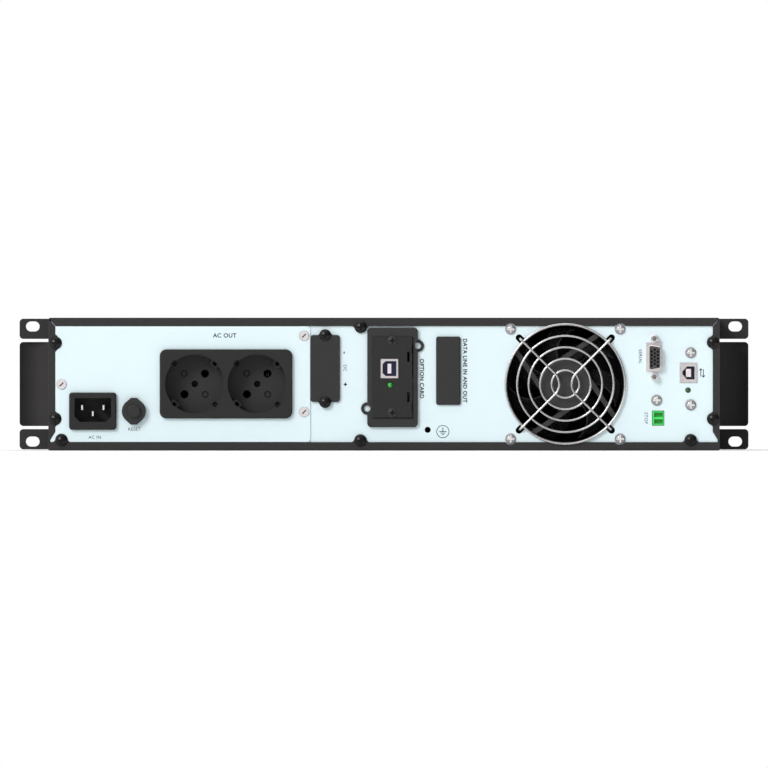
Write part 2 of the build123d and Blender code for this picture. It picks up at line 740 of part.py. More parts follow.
def card_plate():
    """The card's plate, with its port opening, its two latch slots and their tongues."""
    wide, narrow = card_gap
    x = (slot_inner_x[0] + wide, slot_inner_x[1] - narrow)
    z = (slot_inner_z[0] + wide, slot_inner_z[1] - narrow)
    flat = rectangle(x, z)
    flat -= Pos(card_usb_x, card_usb_z) * Rectangle(card_usb["outer"][0] + 0.25, card_usb["outer"][1] + 0.3)
    flat -= Pos(card_led_x, card_led_z) * Circle(card_led_radius + 0.15)
    flat -= holes(card_screw_places, 1.6)
    for latch_slot, tongue in card_latches:
        flat -= rectangle((-16.7, -15.1), latch_slot)
    cover = prism(flat, card_plate_y)
    for latch_slot, tongue in card_latches:
        cover += block((-17.9, -15.9), (card_plate_y[0], card_face + 0.8), tongue)
    return cover


def card_board():
    """The card's circuit board, standing on edge, with its chips and its edge connector."""
    board = block(card_board_x, card_board_y, card_board_z)
    chip_x = (card_board_x[1] - 0.1, card_board_x[1] + 2.0)
    for y, z, size in ((100.0, 50.0, 20.0), (132.0, 38.0, 12.0), (140.0, 58.0, 10.0)):
        board += block(chip_x, (y - size / 2, y + size / 2), (z - size / 2, z + size / 2))
    return board


def card_screws():
    return group([screw(x, z, card_face, 3.2, 1.2, 9.0, 1.4) for x, z in card_screw_places])


def usb_outline(width, height, cut, inset):
    """The opening of a square data port: its two corners towards +X are cut off."""
    half_w, half_h = width / 2 - inset, height / 2 - inset
    return Polygon(
        (-half_w, -half_h), (half_w - cut[0], -half_h), (half_w, cut[1] - half_h),
        (half_w, half_h - cut[1]), (half_w - cut[0], half_h), (-half_w, half_h), align=None
    )


def usb_shell(port):
    """A square data port's metal shell."""
    face = port["face"]
    shell = plate(port["x"], port["z"], *port["outer"], (face - 16.0, face), 0.4)
    mouth = Pos(port["x"], port["z"]) * usb_outline(*port["inner"], port["cut"], 0)
    return shell - prism(mouth, (face - 12.0, face))


def usb_insert(port):
    """The moulded insert of a square data port, with its contact tongue."""
    face = port["face"]
    floor = face - usb_insert_depth
    outline = Pos(port["x"], port["z"]) * usb_outline(*port["inner"], port["cut"], 0.05)
    insert = prism(outline, (face - 11.9, floor))
    return insert + plate(port["x"], port["z"], *port["tongue"], (floor, face - 0.8))


def led(x, z, radius, face):
    """A round indicator with a domed lens."""
    lamp = disc(x, z, radius, (face - 6.0, face - radius))
    return lamp + Pos(x, face - radius, z) * Sphere(radius)


# ---------------------------------------------------------------- fan


def fan_guard():
    """Five wire rings welded to two bent stays, whose ends pass back through the panel."""
    guard = Part()
    for radius in guard_rings:
        guard += Pos(fan_x, guard_ring_y, fan_z) * Rot(90, 0, 0) * Torus(radius, guard_wire)
    end_y = panel_back - 4.0
    for side in (1, -1):
        end_x = fan_x + side * guard_end
        path = FilletPolyline(
            (end_x, end_y, fan_z + guard_end),
            (end_x, guard_stay_y, fan_z + guard_end),
            (fan_x, guard_stay_y, fan_z),
            (end_x, guard_stay_y, fan_z - guard_end),
            (end_x, end_y, fan_z - guard_end),
            radius=[1.6, 9.8, 1.6]
        )
        section = Plane(origin=path @ 0, z_dir=path % 0) * Circle(guard_wire)
        guard += sweep(section, path=path)
    return guard


def fan_frame():
    """The fan's square frame, its barrel, its hub and the four slanted struts."""
    back, front = panel_back - fan_thick, panel_back
    flange = 4.0
    square = RectangleRounded(fan_side, fan_side, 4.0)
    frame = Part()
    for y in ((back, back + flange), (front - flange, front)):
        frame += prism(Pos(fan_x, fan_z) * square, y)
    frame += disc(fan_x, fan_z, fan_side / 2, (back, front))
    frame -= disc(fan_x, fan_z, fan_bore, (back, front))
    strut_y = (front - 4.6, front - 1.6)
    strut = Pos(-10.3, 24.6) * Rot(0, 0, -34.2) * Rectangle(30.0, 3.2)
    struts = Sketch()
    for quarter in range(4):
        struts += Rot(0, 0, 90 * quarter) * strut
    struts = (struts & Circle(fan_bore + 0.5)) - Circle(fan_hub - 1.0)
    frame += prism(Pos(fan_x, fan_z) * struts, strut_y)
    hub = disc(fan_x, fan_z, fan_hub, (front - 8.0, front - 1.2))
    frame += chamfer(rear_edges(hub, front - 1.2), 0.6)
    frame -= disc(fan_x, fan_z, shaft_radius + running_clearance, (front - 9.0, front - 2.0))
    frame -= prism(holes(fan_corners(fan_hole_offset), 2.15), (back, front))
    return frame - prism(guard_slots() - Pos(fan_x, fan_z) * Circle(fan_bore - 0.5), (front - 6.0, front))


def fan_impeller():
    """The fan's cup-shaped hub with its pitched blades, and its shaft."""
    front = panel_back - 8.6
    back = panel_back - fan_thick + 1.6
    rotor = disc(0, 0, fan_hub, (back, front))
    rotor = fillet(rear_edges(rotor, back), 1.5)
    root, tip = fan_hub - 2.0, fan_bore - 0.7
    chord, thick, pitch = 17.0, 1.4, 38.0
    middle = (back + front) / 2
    blade = Pos((root + tip + 1) / 2, middle, 0) * Rot(pitch, 0, 0) * Box(tip + 1 - root, thick, chord)
    blade &= disc(0, 0, tip, (back, front))
    for number in range(fan_blades):
        rotor += Rot(0, number * 360 / fan_blades, 0) * blade
    rotor += disc(0, 0, shaft_radius, (front, panel_back - 2.6))
    return Pos(fan_x, 0, fan_z) * rotor


def fan_screws():
    places = fan_corners(fan_hole_offset)
    return group([screw(x, z, panel_y, 3.5, 2.4, 10.0, cross=wide_cross) for x, z in places])


# ---------------------------------------------------------------- serial, data and emergency ports


def serial_outline(grow):
    """The D of the serial port, standing upright with its long side towards +X."""
    long_half, short_half = 8.55 + grow, 7.3 + grow
    near, far = 4.15 + grow, 4.15 + grow
    flat = Polygon(
        (near, long_half), (near, -long_half), (-far, -short_half), (-far, short_half), align=None
    )
    flat = fillet(flat.vertices(), 1.8 + grow)
    return Pos(serial_x - 0.25, serial_z) * flat


def serial_screw_places():
    half = serial_screw_pitch / 2
    return [(serial_x, serial_z + half), (serial_x, serial_z - half)]


def serial_shell():
    """The D-shaped metal shell on its flange, passing through the panel."""
    face = panel_y + 5.6
    shell = prism(serial_outline(0), (panel_y - 4.0, face))
    shell = chamfer(rear_edges(shell, face), 0.4) - prism(serial_outline(-0.7), (panel_y - 4.0, face))
    collar = rectangle((serial_x - 5.0, serial_x + 5.4), (serial_z - 9.2, serial_z + 9.9))
    shell += prism(collar - serial_outline(-0.7), (panel_y, panel_y + 0.6))
    flange = Pos(serial_x, serial_z) * RectangleRounded(12.4, 30.6, 1.5)
    flange -= holes(serial_screw_places(), 1.7)
    return shell + prism(flange - serial_outline(-0.7), (panel_back - 1.0, panel_back))


def serial_insert():
    """The black insert, with its fifteen contact holes in three staggered columns."""
    face = panel_y + 5.0
    pitch, column_pitch, contact = 2.3, 2.0, 0.8
    places = []
    for column, shift in ((-1, -0.5), (0, 0.0), (1, -0.5)):
        for row in range(5):
            places.append(
                (serial_x - 0.25 + column * column_pitch, serial_z + (row - 2 + 0.5 + shift) * pitch - 0.6)
            )
    insert = prism(serial_outline(-0.75), (comm_board_y[1], face))
    return insert - prism(holes(places, contact), (face - 6.0, face))


def serial_jackscrews():
    """The two threaded standoffs that a serial plug's screws go into."""
    shapes = []
    for x, z in serial_screw_places():
        body = chamfer(rear_edges(disc(x, z, 2.45, (panel_y, panel_y + 5.0)), panel_y + 5.0), 0.4)
        body += disc(x, z, 1.5, (panel_back - 3.0, panel_y))
        shapes.append(body - disc(x, z, 1.4, (panel_y - 1.0, panel_y + 6.0)))
    return group(shapes)


def comm_board():
    """The board that carries the serial, data and emergency ports, on three pillars."""
    flat = rectangle((-214.0, -164.0), (13.0, 77.0)) - holes(comm_screw_places, 1.6)
    board = prism(flat, comm_board_y)
    for x, z in comm_screw_places:
        board += tube(x, z, 3.0, 1.6, (comm_board_y[1], panel_back))
    return board


def comm_board_screws():
    return group([screw(x, z, panel_y, 3.6, 2.4, 10.0, cross=wide_cross) for x, z in comm_screw_places])


def epo_header():
    """The emergency power-off header, which the plug sits in."""
    cavity = Pos(epo_x, epo_z) * Rectangle(epo_width + 0.2, epo_height + 0.2)
    body = Pos(epo_x, epo_z) * Rectangle(epo_width + 2.6, epo_height + 2.6)
    header = prism(body, (comm_board_y[1], panel_back - 0.3))
    header -= prism(cavity, (comm_board_y[1] + 2.0, panel_back))
    for z in epo_poles():
        header += disc(epo_x, z, 0.5, (comm_board_y[1] + 1.0, comm_board_y[1] + 9.0))
    return header


def epo_poles():
    return (epo_z - 2.2, epo_z + 2.2)


def epo_plug():
    """The green two-pole plug, with its wire entries and the screws that clamp the wires."""
    face = panel_y + 0.5
    rim, entry_height, entry_depth = 0.5, 2.9, 2.4
    entry_x = (epo_x + epo_width / 2 - 2 * rim, epo_x - epo_width / 2 + rim)
    body = plate(epo_x, epo_z, epo_width, epo_height, (comm_board_y[1] + 2.3, face), 0.3)
    for z in epo_poles():
        entry_z = (z - entry_height / 2, z + entry_height / 2)
        body -= block(entry_x, (face - entry_depth, face), entry_z)
        body -= disc(epo_x, z, 0.7, (comm_board_y[1] + 1.0, comm_board_y[1] + 9.6))
    return body


# ---------------------------------------------------------------- front


def front_bezel():
    """The plastic front: an open shell with the drawer's opening, the display's hole and louvres."""
    margin = 0.5
    width, height = body_width - 2 * margin, body_height - 2 * margin
    middle_z = body_height / 2
    shell = plate(0, middle_z, width, height, (front_y, chassis_y), 4.0)
    shell = fillet(rear_edges(shell, front_y), 2.2)
    inner_width, inner_height = width - 2 * bezel_wall, height - 2 * bezel_wall
    shell -= plate(0, middle_z, inner_width, inner_height, (front_y + bezel_wall, chassis_y), 1.5)
    shell -= prism(rectangle(drawer_x, drawer_z), (front_y - 1, chassis_y + 1))
    bore = display_radius + running_clearance
    shell -= disc(display_x, display_z, bore, (front_y - 1, front_y + bezel_wall + 1))
    rows, louvre_pitch, louvre_height, louvre_length = 8, 8.0, 3.6, 128.0
    louvre_x = 132.0
    louvres = Sketch()
    for row in range(rows):
        z = middle_z + (row - (rows - 1) / 2) * louvre_pitch
        louvres += Pos(louvre_x, z) * SlotOverall(louvre_length, louvre_height)
    return shell - prism(louvres, (front_y - 1, front_y + bezel_wall + 1))


def button_places():
    return [(display_x + step * button_pitch, display_z - button_drop) for step in (-1, 0, 1)]


def display_housing():
    """The round turret that turns the display upright when the unit stands as a tower."""
    face = front_y - 0.7
    wall = front_y + bezel_wall
    turret = disc(display_x, display_z, display_radius, (face, wall + 4.0))
    turret = fillet(rear_edges(turret, face), 0.5)
    turret += disc(display_x, display_z, display_radius + 2.0, (wall + 0.4, wall + 4.0))
    turret -= plate(display_x, display_z + 5.0, 44.0, 27.0, (face, face + 2.0), 1.5)
    for x, z in button_places():
        turret -= disc(x, z, button_radius + running_clearance, (face - 1, wall + 2.5))
    return turret


def lcd_window():
    face = front_y - 0.7
    return plate(display_x, display_z + 5.0, 43.8, 26.8, (face + 0.3, face + 2.0), 1.4)


def front_button(number):
    """One push button of the display, counted from -X."""
    x, z = button_places()[number]
    tip = -overall_depth / 2
    return fillet(rear_edges(disc(x, z, button_radius, (tip, front_y + bezel_wall + 1.0)), tip), 0.4)


def battery_cover():
    """The drawer's front: ribbed, with a recess to pull it by."""
    x = (drawer_x[0] + drawer_gap, drawer_x[1] - drawer_gap)
    z = (drawer_z[0] + drawer_gap, drawer_z[1] - drawer_gap)
    cover = block(x, (front_y, front_y + 7.5), z)
    cover = fillet(rear_edges(cover, front_y), 0.8)
    rib_count, rib_pitch = 8, 8.0
    groove_depth, groove_height = 1.2, 1.6
    for row in range(rib_count):
        middle = body_height / 2 + (row - (rib_count - 1) / 2) * rib_pitch
        groove = (middle - groove_height / 2, middle + groove_height / 2)
        cover -= block((x[0] + 8.0, x[1] - 8.0), (front_y - 1, front_y + groove_depth), groove)
    return cover - plate(pull_x, pull_z, pull_width, pull_height, (front_y - 1, front_y + pull_depth), 3.0)


def battery_tray():
    """The drawer's metal tray."""
    x = (drawer_x[0] + 1.0, drawer_x[1] - 1.0)
    y = (front_y + 7.5, tray_back_y)
    wall_height, front_height = 40.0, 78.0
    low = tray_floor_z
    tray = block(x, y, (low, low + tray_sheet))
    for edge in ((x[0], x[0] + tray_sheet), (x[1] - tray_sheet, x[1])):
        tray += block(edge, y, (low, wall_height))
    tray += block(x, (y[1] - tray_sheet, y[1]), (low, wall_height))
    return tray + block(x, (y[0], y[0] + tray_sheet), (low, front_height))


def battery_spans():
    """The depth that each battery fills, front one first."""
    length = battery_size[1]
    start = front_y + 7.5 + tray_sheet + 4.0
    return [(start + step, start + step + length) for step in (0, length + battery_gap)]


def batteries():
    middle = (drawer_x[0] + drawer_x[1]) / 2
    x = (middle - battery_size[0] / 2, middle + battery_size[0] / 2)
    low = tray_floor_z + tray_sheet
    cases = []
    for y in battery_spans():
        case = block(x, y, (low, low + battery_size[2]))
        cases.append(fillet(case.edges(), 1.5))
    return group(cases)


def battery_terminals():
    """The flat terminals of the batteries, in the gap between the two."""
    front_span, rear_span = battery_spans()
    middle = (drawer_x[0] + drawer_x[1]) / 2
    reach = battery_gap - 2.0
    tabs = []
    for offset in (-55.0, 55.0):
        x = middle + offset
        tabs.append(block((x - 3, x + 3), (front_span[1], front_span[1] + reach), (50.0, 51.0)))
        x = middle + 0.7 * offset
        tabs.append(block((x - 3, x + 3), (rear_span[0] - reach, rear_span[0]), (50.0, 51.0)))
    return group(tabs)


# ---------------------------------------------------------------- power stage


def power_board():
    """The main board, on six pillars."""
    x, y = (-36.0, 96.0), (-140.0, 46.0)
    inset, half_pillar = 8.0, 3.0
    board = block(x, y, (board_z - board_sheet, board_z))
    for px in (x[0] + inset, x[1] - inset):
        for py in (y[0] + inset, (y[0] + y[1]) / 2, y[1] - inset):
            pillar_x, pillar_y = (px - half_pillar, px + half_pillar), (py - half_pillar, py + half_pillar)
            board += block(pillar_x, pillar_y, (sheet, board_z - board_sheet + 0.1))
    return board


def heatsinks():
    """Two finned aluminium heatsinks standing on the main board."""
    shapes = []
    fin_count, fin, pitch = 8, 1.6, 6.0
    for x in (-24.0, 40.0):
        base = block((x, x + fin_count * pitch), heatsink_y, (board_z, board_z + 5.0))
        for number in range(fin_count):
            edge = x + number * pitch
            base += block((edge, edge + fin), heatsink_y, (board_z + 4.9, heatsink_top))
        shapes.append(base)
    return group(shapes)


def capacitors():
    """The bulk capacitors, in two rows behind the heatsinks."""
    radius, height = 11.0, 40.0
    cans = []
    for row_y in (2.0, 28.0):
        for number in range(4):
            can = Pos(-16.0 + number * 27.0, row_y, board_z + height / 2) * Cylinder(radius, height)
            cans.append(fillet(can.edges().group_by(Axis.Z)[-1], 1.2))
    return group(cans)


def transformer():
    """The filter transformer: a laminated core with its winding, bolted to the base."""
    width, depth, height = 76.0, 44.0, 52.0
    limb_width, window_width, window_height = width / 3, width / 6, 30.0
    coil_width, coil_depth, slack = 50.0, 62.0, 0.5
    place = Pos(150.0, -60.0, sheet + height / 2)
    core = place * Box(width, depth, height)
    for side in (1, -1):
        window_x = side * (limb_width + window_width) / 2
        core -= place * Pos(window_x, 0, 0) * Box(window_width, depth + 1, window_height)
    winding = place * Box(coil_width, coil_depth, window_height - 2 * slack)
    winding = fillet(winding.edges().filter_by(Axis.Z), 8.0)
    return core + (winding - place * Box(limb_width, depth, height))


nodes = {
    "base_tray": base_tray,
    "top_cover": top_cover,
    "rear_panel": rear_panel,
    "front_panel": front_panel,
    "battery_divider": battery_divider,
    "rack_ear_left": lambda: rack_ear(-1),
    "rack_ear_right": lambda: rack_ear(1),
    "ear_screws": lambda: ear_screw_shapes(3.4, screw_shank, 0.1),
    "case_screws": case_screws,
    "outlet_plate": outlet_plate,
    "outlet_bracket": outlet_bracket,
    "outlet_plate_screws": outlet_plate_screws,
    "inlet_housing": inlet_housing,
    "inlet_pins": inlet_pins,
    "breaker_body": breaker_body,
    "breaker_button": breaker_button,
    "socket_housing": socket_housing,
    "socket_contacts": socket_contacts,
    "earth_clips": earth_clips,
    "socket_screws": socket_screws,
    "battery_port_cover": battery_port_cover,
    "battery_port_connector": battery_port_connector,
    "slot_frame": slot_frame,
    "slot_guides": slot_guides,
    "card_plate": card_plate,
    "card_board": card_board,
    "card_screws": card_screws,
    "card_usb_shell": lambda: usb_shell(card_usb),
    "card_usb_insert": lambda: usb_insert(card_usb),
    "card_led": lambda: led(card_led_x, card_led_z, card_led_radius, card_face + 1.0),
    "surge_port_cover": surge_port_cover,
    "earth_nut": earth_nut,
    "fan_guard": fan_guard,
    "fan_frame": fan_frame,
    "fan_impeller": fan_impeller,
    "fan_screws": fan_screws,
    "serial_shell": serial_shell,
    "serial_insert": serial_insert,
    "serial_jackscrews": serial_jackscrews,
    "usb_shell": lambda: usb_shell(panel_usb),
    "usb_insert": lambda: usb_insert(panel_usb),
    "comm_led": lambda: led(comm_led_x, comm_led_z, comm_led_radius, panel_y + 1.2),
    "comm_board": comm_board,
    "comm_board_screws": comm_board_screws,
    "epo_header": epo_header,
    "epo_plug": epo_plug,
    "front_bezel": front_bezel,
    "display_housing": display_housing,
    "lcd_window": lcd_window,
    "power_button": lambda: front_button(0),
    "select_button": lambda: front_button(1),
    "mute_button": lambda: front_button(2),
    "battery_cover": battery_cover,
    "battery_tray": battery_tray,
    "batteries": batteries,
    "battery_terminals": battery_terminals,
    "power_board": power_board,
    "heatsinks": heatsinks,
    "capacitors": capacitors,
    "transformer": transformer,
}

os.makedirs("parts", exist_ok=True)
for name, make in nodes.items():
    export_step(make(), f"parts/{name}.step")
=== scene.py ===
import bpy
import math
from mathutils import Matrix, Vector


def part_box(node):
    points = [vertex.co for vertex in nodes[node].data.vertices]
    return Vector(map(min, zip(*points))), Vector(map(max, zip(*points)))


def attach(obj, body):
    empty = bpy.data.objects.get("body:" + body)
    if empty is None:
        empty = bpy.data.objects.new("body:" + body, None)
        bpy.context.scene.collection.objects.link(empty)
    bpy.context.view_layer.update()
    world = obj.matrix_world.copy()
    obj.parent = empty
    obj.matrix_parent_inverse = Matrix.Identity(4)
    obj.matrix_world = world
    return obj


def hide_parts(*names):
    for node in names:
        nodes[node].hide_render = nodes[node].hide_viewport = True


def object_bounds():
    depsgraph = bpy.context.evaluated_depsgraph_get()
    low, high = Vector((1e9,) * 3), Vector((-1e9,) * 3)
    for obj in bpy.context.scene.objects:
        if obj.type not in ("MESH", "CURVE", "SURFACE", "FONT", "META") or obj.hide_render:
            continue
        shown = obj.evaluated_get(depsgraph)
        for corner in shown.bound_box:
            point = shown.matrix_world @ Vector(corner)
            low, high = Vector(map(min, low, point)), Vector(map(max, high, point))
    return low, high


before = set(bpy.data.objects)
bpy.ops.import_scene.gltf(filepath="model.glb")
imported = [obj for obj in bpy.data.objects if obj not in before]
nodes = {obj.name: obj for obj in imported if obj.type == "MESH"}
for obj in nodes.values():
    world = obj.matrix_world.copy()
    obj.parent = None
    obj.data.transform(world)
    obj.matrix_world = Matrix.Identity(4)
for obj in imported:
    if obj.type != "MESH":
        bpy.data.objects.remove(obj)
cad_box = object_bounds()
MM = 0.001

# Places taken from the frame: how far to the rear some pieces reach, and the unit's height
SOCKET_DEPTH = 0.0175
panel_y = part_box("rear_panel")[1].y
plate_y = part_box("outlet_plate")[1].y
serial_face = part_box("serial_insert")[1].y
plug_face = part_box("epo_plug")[1].y
flat_screw_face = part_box("outlet_plate_screws")[1].y
socket_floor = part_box("socket_housing")[1].y - SOCKET_DEPTH
unit_height = cad_box[1].z

# How shader nodes are tuned
NOISE_RANGE = (0.3, 0.7)            # what a noise mostly stays within
SPECK_RANGE = (0.35, 0.65)          # a tighter range, for harder spots
EDGE_COSINES = (0.995, 0.86)        # rounded against plain normal: where an edge starts, where it is full
FLAT_COSINES = (0.985, 0.998)       # a face's normal against +Y: where flat starts, where it is full
EDGE_SAMPLES = 4
MIX_FACTOR, MIX_FIRST, MIX_SECOND, MIX_RESULT = 0, 6, 7, 2      # the sockets of a colour mix


# ------------------------------------------------------------------ node helpers


def new_material(name):
    """An empty node material: returns it, its node tree and its shader."""
    material = bpy.data.materials.new(name)
    material.use_nodes = True
    tree = material.node_tree
    tree.nodes.clear()
    output = tree.nodes.new("ShaderNodeOutputMaterial")
    shader = tree.nodes.new("ShaderNodeBsdfPrincipled")
    tree.links.new(shader.outputs["BSDF"], output.inputs["Surface"])
    return material, tree, shader


def add(tree, kind, inputs=None, **settings):
    """A node of one kind: inputs are numbers or other nodes' sockets, settings are its properties."""
    node = tree.nodes.new(kind)
    for key, value in settings.items():
        setattr(node, key, value)
    for key, value in (inputs or {}).items():
        if isinstance(value, bpy.types.NodeSocket):
            tree.links.new(value, node.inputs[key])
        else:
            node.inputs[key].default_value = value
    return node


def coordinates(tree):
    return add(tree, "ShaderNodeTexCoord").outputs["Object"]


def stretched(tree, scale):
    """Object coordinates scaled unevenly, for grain that runs one way."""
    return add(tree, "ShaderNodeMapping", {"Vector": coordinates(tree), "Scale": scale}).outputs["Vector"]


def noise(tree, scale, detail=3.0, vector=None, roughness=0.5):
    """The value of a noise, over object coordinates unless it is given others."""
    place = vector or coordinates(tree)
    inputs = {"Vector": place, "Scale": scale, "Detail": detail, "Roughness": roughness}
    return add(tree, "ShaderNodeTexNoise", inputs).outputs["Fac"]


def between(tree, value, low_in, high_in, low_out, high_out):
    """Maps a value from one range to another, clamped."""
    inputs = {"Value": value, "From Min": low_in, "From Max": high_in, "To Min": low_out, "To Max": high_out}
    return add(tree, "ShaderNodeMapRange", inputs).outputs["Result"]


def over_noise(tree, value, low_out, high_out):
    """Maps a noise's usual range to another, clamped."""
    return between(tree, value, *NOISE_RANGE, low_out, high_out)


def mixed(tree, factor, first, second):
    """A colour between two colours."""
    inputs = {MIX_FACTOR: factor, MIX_FIRST: first, MIX_SECOND: second}
    return add(tree, "ShaderNodeMix", inputs, data_type="RGBA").outputs[MIX_RESULT]


def arithmetic(tree, operation, first, second):
    """The result of one sum on two values."""
    return add(tree, "ShaderNodeMath", {0: first, 1: second}, operation=operation).outputs[0]


def edge_mask(tree, radius):
    """1 along a piece's edges and 0 on its faces."""
    rounded = add(tree, "ShaderNodeBevel", {"Radius": radius}, samples=EDGE_SAMPLES).outputs["Normal"]
    plain = add(tree, "ShaderNodeNewGeometry").outputs["Normal"]
    dot = add(tree, "ShaderNodeVectorMath", {0: rounded, 1: plain}, operation="DOT_PRODUCT").outputs["Value"]
    return between(tree, dot, *EDGE_COSINES, 0.0, 1.0)


def opaque(colour):
    """A colour with its alpha."""
    return tuple(colour) + (1.0,)


def shade(colour, factor):
    """A colour made lighter or darker, with its alpha."""
    return opaque(min(1.0, channel * factor) for channel in colour[:3])


def flat_floor(tree):
    """1 where a surface faces straight to the rear, as the floor of a screw's recess does."""
    normal = add(tree, "ShaderNodeTexCoord").outputs["Normal"]
    facing = add(tree, "ShaderNodeSeparateXYZ", {"Vector": normal}).outputs["Y"]
    return between(tree, facing, *FLAT_COSINES, 0.0, 1.0)


def deeper_than(level):
    """Makes a mask: 1 where a surface lies below a value of y, deeper in as seen from the rear."""
    blur = 0.00005

    def mask(tree):
        place = add(tree, "ShaderNodeSeparateXYZ", {"Vector": coordinates(tree)}).outputs["Y"]
        return between(tree, place, level - blur, level, 1.0, 0.0)
    return mask


def finish(name, colour, rough=(0.4, 0.55), metallic=0.0, grain=1800.0, bump=0.15, bump_depth=0.00005,
           patch=22.0, spread=0.12, edge_wear_and_painted_light=None, edge_radius=0.0005, edge_share=(0.3, 0.7), specular=0.5,
           along=None, layers=()):
    """A surface finish: colour patches, a fine grain in its bump and its roughness, and edges of another
    colour.

    grain is the number of grains in a metre, along stretches them, spread is how far the colour
    strays, the colour given for the edges makes plain lighter edges on the coats, plastics and plated
    metal, painted shade along the edges of the screws and a painted highlight along the edges of the
    green plug and the fan blades, and each of the layers is a colour and the mask that lays it on:
    painted highlights on flat faces, painted light on the socket's recess floor and painted shade
    in recesses."""
    speck_spread = 0.6 * spread
    edge_grain = 900.0
    grain_share, patch_share = 0.6, 0.4
    material, tree, shader = new_material(name)
    place = stretched(tree, along) if along else coordinates(tree)
    patches = noise(tree, patch, 4.0, roughness=0.6)
    fine = noise(tree, grain, 2.0, place)
    tone = over_noise(tree, patches, 0.0, 1.0)
    base = mixed(tree, tone, shade(colour, 1.0 - spread), shade(colour, 1.0 + spread))
    speck = between(tree, fine, *SPECK_RANGE, 0.0, 1.0)
    base = mixed(tree, speck, base, shade(colour, 1.0 + speck_spread))
    # Each layer paints light or shade by its mask: highlights on flat faces and on the socket's recess
    # floor, shade in recesses.
    for tint, mask in layers:
        base = mixed(tree, mask(tree), base, opaque(tint))
    # The edges take another colour: painted shade on the screws, a painted highlight on the green plug and
    # the fan blades, and plain lighter edges elsewhere.
    if edge_wear_and_painted_light:
        ragged = over_noise(tree, noise(tree, edge_grain), *edge_share)
        edge_amount = arithmetic(tree, "MULTIPLY", edge_mask(tree, edge_radius), ragged)
        base = mixed(tree, edge_amount, base, opaque(edge_wear_and_painted_light))
    tree.links.new(base, shader.inputs["Base Color"])
    from_grain = arithmetic(tree, "MULTIPLY", fine, grain_share)
    from_patches = arithmetic(tree, "MULTIPLY", patches, patch_share)
    both = arithmetic(tree, "ADD", from_grain, from_patches)
    tree.links.new(over_noise(tree, both, *rough), shader.inputs["Roughness"])
    relief = add(tree, "ShaderNodeBump", {"Height": fine, "Strength": bump, "Distance": bump_depth})
    tree.links.new(relief.outputs["Normal"], shader.inputs["Normal"])
    shader.inputs["Metallic"].default_value = metallic
    shader.inputs["Specular IOR Level"].default_value = specular
    return material


# ------------------------------------------------------------------ materials

black_coat = finish("black_powder_coat", (0.036, 0.0335, 0.0345), (0.55, 0.7), grain=2600.0, bump=0.5,
                    bump_depth=0.0001, spread=0.08, edge_wear_and_painted_light=(0.09, 0.086, 0.088), specular=0.15)
light_coat = finish("light_powder_coat", (0.76, 0.895, 0.93), (0.42, 0.55), grain=2200.0, bump=0.25,
                    bump_depth=0.00006, spread=0.015, edge_wear_and_painted_light=(0.86, 0.95, 0.97), edge_radius=0.0003,
                    specular=0.4)
zinc = finish("zinc_plated_sheet", (0.52, 0.54, 0.56), (0.28, 0.5), metallic=1.0, grain=900.0, bump=0.2,
              patch=60.0, spread=0.16, along=(1.0, 8.0, 1.0))
black_moulding = finish("black_moulded_plastic", (0.0325, 0.0325, 0.0325), (0.5, 0.62), grain=3200.0,
                        bump=0.45, bump_depth=0.00008, spread=0.08, edge_wear_and_painted_light=(0.07, 0.07, 0.07),
                        edge_radius=0.0004, specular=0.2)
# The socket's recess floor is painted lighter, a painted light, and the grooves and holes below it near
# black, a painted shade.
socket_moulding = finish("socket_plastic", (0.0185, 0.0185, 0.0185), (0.42, 0.55), grain=3000.0, bump=0.3,
                         bump_depth=0.00006, spread=0.08, edge_wear_and_painted_light=(0.04, 0.04, 0.04), edge_radius=0.0004,
                         specular=0.25, layers=[((0.036, 0.036, 0.036), deeper_than(plate_y + 0.001)),
                                                ((0.003, 0.003, 0.003), deeper_than(socket_floor - 0.0003))])
inlet_moulding = finish("inlet_plastic", (0.0185, 0.0185, 0.0185), (0.42, 0.55), grain=3000.0, bump=0.3,
                        bump_depth=0.00006, spread=0.08, edge_wear_and_painted_light=(0.05, 0.05, 0.05), edge_radius=0.0004,
                        specular=0.25)
card_moulding = finish("card_plastic", (0.024, 0.0235, 0.0235), (0.5, 0.62), grain=3600.0, bump=0.4,
                       bump_depth=0.00006, spread=0.08, edge_wear_and_painted_light=(0.045, 0.044, 0.044), specular=0.2)
# Metal darkened to near black as painted shade: the earth clips and contacts deep in the sockets, and the
# standoff threads.
metal_in_painted_shade = finish("metal_darkened_for_shade", (0.007, 0.007, 0.007), (0.4, 0.55), metallic=0.3, grain=1500.0,
                    bump=0.2, patch=200.0, spread=0.3, edge_wear_and_painted_light=(0.02, 0.02, 0.02), edge_radius=0.0002,
                    specular=0.2)
button_plastic = finish("button_plastic", (0.026, 0.026, 0.027), (0.4, 0.52), grain=2600.0, bump=0.12,
                        spread=0.06, edge_wear_and_painted_light=(0.07, 0.07, 0.07), edge_radius=0.0004, specular=0.25)
bezel_plastic = finish("bezel_texture", (0.020, 0.020, 0.021), (0.42, 0.58), grain=1500.0, bump=0.6,
                       bump_depth=0.00015, spread=0.1, edge_wear_and_painted_light=(0.05, 0.05, 0.05), specular=0.4)
# The crosses' floors and the head edges are painted darker still: painted shade in the recesses and along
# the rims.
black_screw = finish("black_oxide_screw", (0.004, 0.004, 0.004), (0.26, 0.38), grain=1600.0, bump=0.05,
                     bump_depth=0.00002, patch=300.0, spread=0.3, edge_wear_and_painted_light=(0.0005, 0.0005, 0.0005),
                     edge_radius=0.00025, edge_share=(0.6, 1.0), specular=0.3,
                     layers=[((0.0005, 0.0005, 0.0005), flat_floor)])
